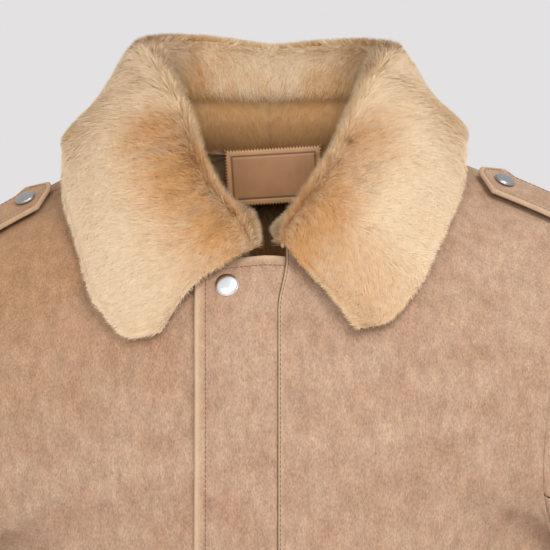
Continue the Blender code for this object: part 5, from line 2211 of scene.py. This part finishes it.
@dataclass
class Stand(Maker):
    """The fur stand inside the neck, in one piece round the back."""

    shape: CollarForm
    look: FurLook = field(default_factory=lambda: FurLook(wave=0.12, curl=0.16))
    strands: int = 20000
    last: float = 0.5556
    stations: int = 44
    points: int = 9
    under_fur: float = 0.50

    def build(self) -> None:
        """Builds the stand's pelt and its fur, which hangs straight down. Painted shade darkens it on its way
        down into the neck, with a painted shadow line at its top under the roll.
        """
        shape = self.shape
        shares = np.linspace(0.0, self.last, self.stations)
        top = shape.stand_top(shares)
        across = (top - 0.003)[:, None] * np.linspace(0.0, 1.0, self.points)
        halves, pelts = [], []
        for side in (-1, 1):
            skin, facing = shape.surface(side, shares, across), shape.facing(side, shares, across)
            grids = [
                skin + facing * (shape.skin / 2 + self.under_fur * shape.stand_pile),
                skin - facing * shape.skin / 2,
                skin + facing * (shape.skin / 2 + 0.45 * shape.stand_pile),
            ]
            for grid in grids:
                grid[0, :, 0] = 0.0
            low = 1 - across / np.maximum(top[:, None], 1e-6)
            warm = np.full(across.shape, 0.95)
            # painted shade: darker towards the neck seam, with a painted shadow line at the top, under the
            # roll
            shade = 0.02 + 0.96 * low**1.3 + 0.45 * bump(low, 0.0, 0.12)
            halves.append((grids[0], grids[1], warm, shade))
            depth = np.full(across.shape, shape.stand_pile * 0.45)
            reach = np.full(across.shape, 0.0085) + 0.0075 * low**2
            flow = -unit(np.gradient(skin, axis=1))
            pelts.append(Pelt(shape.form.settle(grids[2]), facing, flow, depth, reach, warm, shade,
                              np.ones(across.shape)))
        outer, inner, warm, shade = (np.concatenate([right[:0:-1], left]) for right, left in zip(*halves))
        outer, inner = shape.form.settle(outer), shape.form.settle(inner)
        wall = Wall()
        # painted shade: the under fur beneath the strands is shaded 0.15 deeper than they are
        wall.add(inner, outer, True, along=0.35, warm=warm, own=0.45, shade=np.clip(shade + 0.15, 0, 1))
        self.sew(wall, "collar_stand_pelt", "collar_stand", flat_size(inner)[::-1], ("back_suede",),
                 slot=Slot.FUR, outside=self.finishes.collar_fur, inside=self.finishes.suede)
        grow_fur("collar_stand_fur", pelts, self.strands, 61, self.look, self.finishes.collar_fur)


@dataclass
class Strap(Maker):
    """A shoulder strap of two layers, pointed at its inner end and sewn in at the armhole."""

    side: Side
    half_width: float = 0.0220
    tips: dict = field(default_factory=lambda: {1: 0.1490, -1: 0.1535})
    forward: float = 0.0020
    point: float = 0.0150
    skew: float = 0.0050
    hide: Hide = field(default_factory=lambda: Hide(
        thickness=0.0030, radius=0.0016, least=0.30, worn=0.0065, paleness=0.40,
    ))
    length: float = 0.080
    step: float = 0.0045
    spring: float = 0.0022
    spring_start: float = 0.012
    least_spring: float = 0.0004
    curl: float = 0.0026
    curl_width: float = 0.013
    end_gap: float = 0.0004
    stitch: float = 0.0055
    rise: tuple[float, float] = (0.0003, 0.0020)  # height and half width, as for the groove
    groove: tuple[float, float] = (0.0005, 0.0009)
    marks: tuple[float, ...] = (0.0, 0.0004, 0.0009, 0.0017, 0.0030, 0.0044, 0.0050, 0.0055, 0.0060, 0.0068)

    def armhole_x(self, from_seam: float) -> float:
        """Distance of the armhole from the centre line, near the shoulder seam.

        Args:
            from_seam: distance from the seam, positive towards the back.

        Returns:
            The distance.
        """
        form = self.form
        lines = form.back_lines if from_seam > 0 else form.front_lines
        last = len(lines) - 1
        end = form.read(lines, np.array([last - 1.0, last]))[1]
        share = min(abs(from_seam) / np.linalg.norm(end[1] - end[0]), 1.0)
        return end[1, 0] + (end[0, 0] - end[1, 0]) * share

    def over_shoulder(self, distances: Array, from_seam: Array) -> Array:
        """Points over the shoulder, at distances from the centre line and from the shoulder seam.

        The distance from the seam is measured over the cloth and is positive towards the back.

        Args:
            distances: from the centre line.
            from_seam: from the shoulder seam.

        Returns:
            The grid of points at +X.
        """
        form = self.form
        front = np.linspace(form.row_pit + 0.5, form.shoulder_front, 40)
        back = np.linspace(form.shoulder_back, form.row_nape, 40)[1:]
        flat = distances.ravel()
        lines = [
            form.grid(table, rows, form.shares_at(table, rows, np.tile(flat, (len(rows), 1))))
            for table, rows in ((form.front_lines, front), (form.back_lines, back))
        ]
        line = np.concatenate(lines)
        length = arc(line, 0) - arc(line, 0)[len(front) - 1]
        made = [read_along(length[:, i], line[:, i], at) for i, at in enumerate(from_seam.ravel())]
        return np.array(made).reshape(*distances.shape, 3)

    def build(self) -> None:
        """Builds the strap: one wall as thick as both of its layers, a little raised along its stitched edge.
        """
        form, sign, word = self.form, self.side.sign, self.side.word
        width = spaced(2 * self.half_width, self.marks, self.step) * 2 - 1
        tip = self.tips[sign] + self.point * np.abs(width) + self.skew * width
        ends = [self.armhole_x(share * self.half_width) for share in (-1, 1)]
        end = np.interp(width, (-1.0, 1.0), ends) - self.end_gap
        along = spaced(self.length, self.marks, self.step)[:, None]
        distances = tip + (end - tip) * along
        base = self.over_shoulder(distances, np.tile(width * self.half_width - self.forward, (len(along), 1)))
        facing = -normals(base)
        left = edge_distance(base)[1]
        to_tip, to_front = edge_distance(base)[0], edge_distance(base)[2]
        curl = self.curl * (1 - ease(np.minimum(to_tip, to_front) / self.curl_width))
        spring = (self.spring + curl) * ease(left / self.spring_start) + self.least_spring
        lower = base + facing * (form.hide + spring)[..., None]
        near = np.minimum.reduce([d for letter, d in zip("tblr", edge_distance(base)) if letter != "b"])
        (rise, rise_half), (groove, groove_half) = self.rise, self.groove
        relief = rise * bump(near, self.stitch / 2, rise_half) - groove * bump(near, self.stitch, groove_half)
        if sign < 0:
            lower, facing = mirrored(lower), mirrored(facing)
        lower = form.settle(lower)
        wall = Wall()
        outer = self.hide.add(wall, lower, facing, sign > 0, "tlr", "tlr", relief)
        self.sew(wall, f"epaulette_{word}_suede", f"epaulette_{word}", flat_size(lower),
                 ("back_suede", f"front_{word}_suede"), inside=self.finishes.suede)
        paths = [line_from_edge(outer, facing, self.stitch, edge) for edge in "ltr"]
        row, column = (int(np.argmin(np.abs(x - self.stitch))) for x in
                       (edge_distance(lower)[0][:, 12], edge_distance(lower)[2][20]))
        paths = [
            tuple(x[row:][::-1] for x in paths[0]),
            tuple(x[column:-column] for x in paths[1]),
            tuple(x[row:] for x in paths[2]),
        ]
        for path, path_facing in paths:
            self.stitches.add(path, path_facing)


@dataclass
class NeckInside(Maker):
    """What shows inside the neck: the fur lining, the tape at the neck seam and the bare leather label."""

    pile: float = 0.0060
    gap: float = 0.0009
    first: float = 4.0
    last: float = 10.0
    to_side: float = 0.5
    from_neck: float = 0.025
    strands: int = 20000
    step: float = 0.007
    columns: int = 24
    look: FurLook = FurLook(width=0.00048, tuft=0.0050, wave=0.3, curl=0.4, stray=0.3)
    # painted light: where light reaches into the neck, at the nape and on two tufts beside the label, the
    # lining is painted pale
    lit_top: float = 0.012
    lit_spots: tuple[float, float] = (-0.043, 0.047)  # X of the painted light on the tufts beside the label
    lit_down: float = 0.014
    lit_reach: float = 0.019
    label_size: tuple[float, float] = (0.0720, 0.0410)
    label_middle: tuple[float, float, float] = (0.0045, 0.0595, -0.0249)
    label_lean: float = 0.12
    label_bow: float = 0.80
    label_thickness: float = 0.0015
    label_turn: float = 3.5
    teeth: tuple[int, int] = (32, 18)
    tooth: float = 0.0021
    frame_line: float = 0.0046
    frame_width: float = 0.0006
    frame_depth: float = 0.0005
    pinked_round: float = 0.0012
    label_curl: tuple[float, float] = (0.0012, 0.0006)  # of its upper corners, of its lower and upper edge
    tape_thickness: float = 0.0009
    tape_end: float = 0.36
    tape_top: float = 0.0036
    tape_width: float = 0.0112
    tape_inwards: tuple[float, float] = (0.0045, 0.0025)  # at its upper edge, and how much more below

    def build_lining(self) -> None:
        """The fur lining below the nape: a thin pelt with short dark fur that hangs down. It is painted pale
        and cream where light reaches it, at the nape and beside the label, and painted with shade elsewhere.
        """
        form = self.form
        rows = form.rows_between(self.first, self.last, self.step, form.back_lines)
        rows = np.unique(np.append(rows, form.row_nape))
        columns = np.tile(np.linspace(0.0, self.to_side, self.columns), (len(rows), 1))
        columns[rows >= form.row_nape] = np.linspace(self.from_neck, self.to_side, self.columns)
        half = form.grid(form.back_lines, rows, columns)
        inwards = normals(half)
        joined = rows < form.row_nape
        wall, halves, pelts = Wall(), [], []
        for sign in (1, -1):
            grids = [half + inwards * (self.gap + self.pile * share) for share in (0.0, 0.50, 0.45)]
            for grid in grids:
                grid[joined, 0, 0] = 0.0
            facing = inwards
            if sign < 0:
                grids, facing = [mirrored(grid) for grid in grids], mirrored(inwards)
            back, front, roots = (form.settle(grid) for grid in grids)
            across, high = back[..., 0], back[..., 2]
            # painted light: pale is where light reaches the lining; there it turns cream and less shaded, and
            # elsewhere it takes painted shade
            pale = bump(high, 0.0, self.lit_top)
            for middle in self.lit_spots:
                pale = pale + bump(np.hypot(across - middle, high + self.lit_down), 0, self.lit_reach)
            pale = np.clip(pale, 0, 1)
            warm, shade = 1 - pale, 0.25 - 0.25 * pale
            # painted shade: the under fur beneath the strands is shaded 0.15 deeper than they are
            wall.add(front, back, sign > 0, along=0.3, warm=warm, own=0.4, shade=np.clip(shade + 0.15, 0, 1))
            flow = np.zeros(back.shape) + np.array([0.0, 0.0, -1.0])
            full = np.full(pale.shape, self.pile)
            pelts.append(Pelt(roots, facing, flow, full * 0.5, full * 1.4, warm, shade, np.ones(pale.shape)))
            halves.append(back)
        fur = self.finishes.lining_fur
        self.sew(wall, "back_lining_pelt", "back_lining", flat_size(*halves), ("back_suede",),
                 slot=Slot.FUR, outside=fur, inside=fur)
        grow_fur("back_lining_fur", pelts, self.strands, 83, self.look, fur)

    def build_label(self) -> None:
        """The leather label: pinked all round, with one pressed frame line and nothing else on it.

        Its edge moves out and in by a triangle wave of one tooth.
        """
        (wide, high), (count_u, count_v) = self.label_size, self.teeth
        u, v = np.meshgrid(np.linspace(-0.5, 0.5, 4 * count_u + 1), np.linspace(-0.5, 0.5, 4 * count_v + 1))
        wave_u, wave_v = (np.abs((k * n * 2 + n) % 2 - 1) * 2 - 1 for k, n in ((u, count_u), (v, count_v)))
        x = u * wide + np.sign(u) * wave_v * self.tooth / 2 * np.abs(2 * u) ** 30
        y = v * high + np.sign(v) * wave_u * self.tooth / 2 * np.abs(2 * v) ** 20
        near = np.minimum(wide / 2 - np.abs(u * wide), high / 2 - np.abs(v * high))
        pressed = bump(near, self.frame_line, self.frame_width)
        corners, edges = self.label_curl
        curl = corners * np.abs(2 * u) ** 4 * (v > 0) * np.abs(2 * v) - edges * np.abs(2 * v) ** 3
        turn = math.radians(self.label_turn)
        back = np.stack([
            x * math.cos(turn) - y * math.sin(turn),
            self.label_bow * x**2 - self.label_lean * y + self.label_thickness - curl,
            x * math.sin(turn) + y * math.cos(turn),
        ], axis=-1) + np.array(self.label_middle)
        facing = normals(back)
        rounded = np.sqrt(1 - (1 - np.clip(near / self.pinked_round, 0, 1)) ** 2) * 0.5 + 0.5
        front = back + facing * (self.label_thickness * rounded - self.frame_depth * pressed)[..., None]
        border = ease((self.frame_line - near) / 0.001)
        wall = Wall(weld=0.00001)
        wall.add(back, front, False, border=border, pressed=pressed * 0.9 + 0.35 * (1 - ease(near / 0.0005)))
        flat = (round(wide + self.tooth, 4), round(high + self.tooth, 4))
        piece = wall.build("neck_label", self.finishes.leather, self.finishes.leather)
        dress(piece, Slot.LEATHER, "label")
        self.cuts.append(Cut(piece, flat, min(wall.area, math.prod(flat)), "hung", ("back_lining_pelt",)))

    def build_tape(self) -> None:
        """The tape that covers the neck seam below the stand."""
        shares = np.linspace(0.0, self.tape_end, 40)
        down = np.linspace(0.0, 1.0, 6)
        edge = self.form.neck_edge(shares)
        length = np.linalg.norm(edge[:, :2], axis=1)[:, None, None]
        closer = self.tape_inwards[0] + self.tape_inwards[1] * down[None, :, None]
        grid = np.tile(edge[:, None], (1, len(down), 1))
        grid[..., :2] *= 1 - closer / length
        grid[..., 2] += self.tape_top - self.tape_width * down
        grid = np.concatenate([mirrored(grid)[:0:-1], grid])
        inwards = -normals(grid)
        grid = self.form.settle(grid)
        inwards = inwards * np.sign(-(inwards * grid).sum(axis=-1).mean())
        against = float((normals(grid) * inwards).sum(axis=-1).mean()) < 0
        wall = Wall()
        wall.add(grid, grid + inwards * self.tape_thickness, against)
        tape = self.finishes.tape
        self.sew(wall, "neck_tape", None, flat_size(grid)[::-1], ("back_suede",),
                 slot=Slot.FUR, outside=tape, inside=tape)


@dataclass
class Studio:
    """Soft even light, one broad key from the front left above, a pale floor and the camera."""

    backdrop: str = "#e3e1e2"
    key_power: float = 47.0
    key_size: float = 1.3
    key_place: tuple[float, float, float] = (0.95, -2.20, 1.55)
    fill_power: float = 19.0
    fill_size: float = 1.0
    fill_place: tuple[float, float, float] = (-0.55, -2.45, 0.45)
    floor_level: float = -0.760
    camera_place: tuple[float, float, float] = (0.0049, -2.7200, -0.0990)
    lens: float = 243.1

    def build(self) -> None:
        """Builds the studio."""
        scene = bpy.context.scene
        scene.view_settings.view_transform = "Standard"
        world = bpy.data.worlds.new("studio")
        world.use_nodes = True
        background = world.node_tree.nodes["Background"]
        background.inputs["Color"].default_value = linear(self.backdrop)
        scene.world = world
        self.light("key", self.key_place, self.key_size, self.key_power)
        self.light("fill", self.fill_place, self.fill_size, self.fill_power)
        points = np.array([[-2.0, -2.0, 0], [2.0, -2.0, 0], [2.0, 2.0, 0], [-2.0, 2.0, 0]], float)
        points[:, 2] = self.floor_level
        floor_finish = Plain("matt_pale_floor", self.backdrop, 60.0, 0.02, 0.9).material()
        floor = add_mesh("studio_floor", points, [np.array([[0, 1, 2, 3]])], [floor_finish])
        lens = bpy.data.cameras.new("camera")
        lens.sensor_width = 36.0
        lens.lens = self.lens
        lens.clip_end = 50.0
        camera = bpy.data.objects.new("camera", lens)
        camera.location = self.camera_place
        camera.rotation_euler = (math.radians(90), 0.0, 0.0)
        scene.collection.objects.link(camera)
        scene.camera = camera

    def light(self, name: str, place: tuple[float, float, float], size: float, power: float) -> None:
        """A square soft light that looks at the collar.

        Args:
            name: its name.
            place: where it is.
            size: its side.
            power: its power in watts.
        """
        lamp = bpy.data.lights.new(name, "AREA")
        lamp.size = size
        lamp.energy = power
        made = bpy.data.objects.new(name, lamp)
        made.location = place
        away = np.array(place) - np.array([0.0, 0.0, -0.1])
        down = math.atan2(away[2], math.hypot(away[0], away[1]))
        made.rotation_euler = (math.radians(90) - down, 0.0, math.atan2(away[0], -away[1]))
        bpy.context.scene.collection.objects.link(made)


def main() -> None:
    """Builds the jacket's looks, piece by piece."""
    logging.basicConfig(level=logging.INFO, format="%(message)s")
    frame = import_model()
    form, finishes, stitches, cuts = BodyForm(), Finishes(), Rows(), []
    kit = (form, finishes, stitches, cuts)
    fronts = Fronts(*kit)
    fronts.build()
    Back(*kit).build()
    Fly(*kit, fronts).build()
    for side in Side:
        Sleeve(*kit, side).build()
        Strap(*kit, side).build()
    stitches.build("stitching", finishes)
    shape = CollarForm(form)
    for side in Side:
        CollarHalf(*kit, side, shape).build()
    Stand(*kit, shape).build()
    inside = NeckInside(*kit)
    inside.build_lining()
    inside.build_tape()
    inside.build_label()
    for node in ("snap_front", "snap_epaulette_left", "snap_epaulette_right"):
        # the strap snaps take the nickel painted darker, a painted reflection
        finish = finishes.nickel if node == "snap_front" else finishes.dull_nickel
        Snap(node, finish).build(frame["nodes"][node])
    Studio().build()
    for cut in cuts:
        cut.declare()


if __name__ == "__main__":
    main()
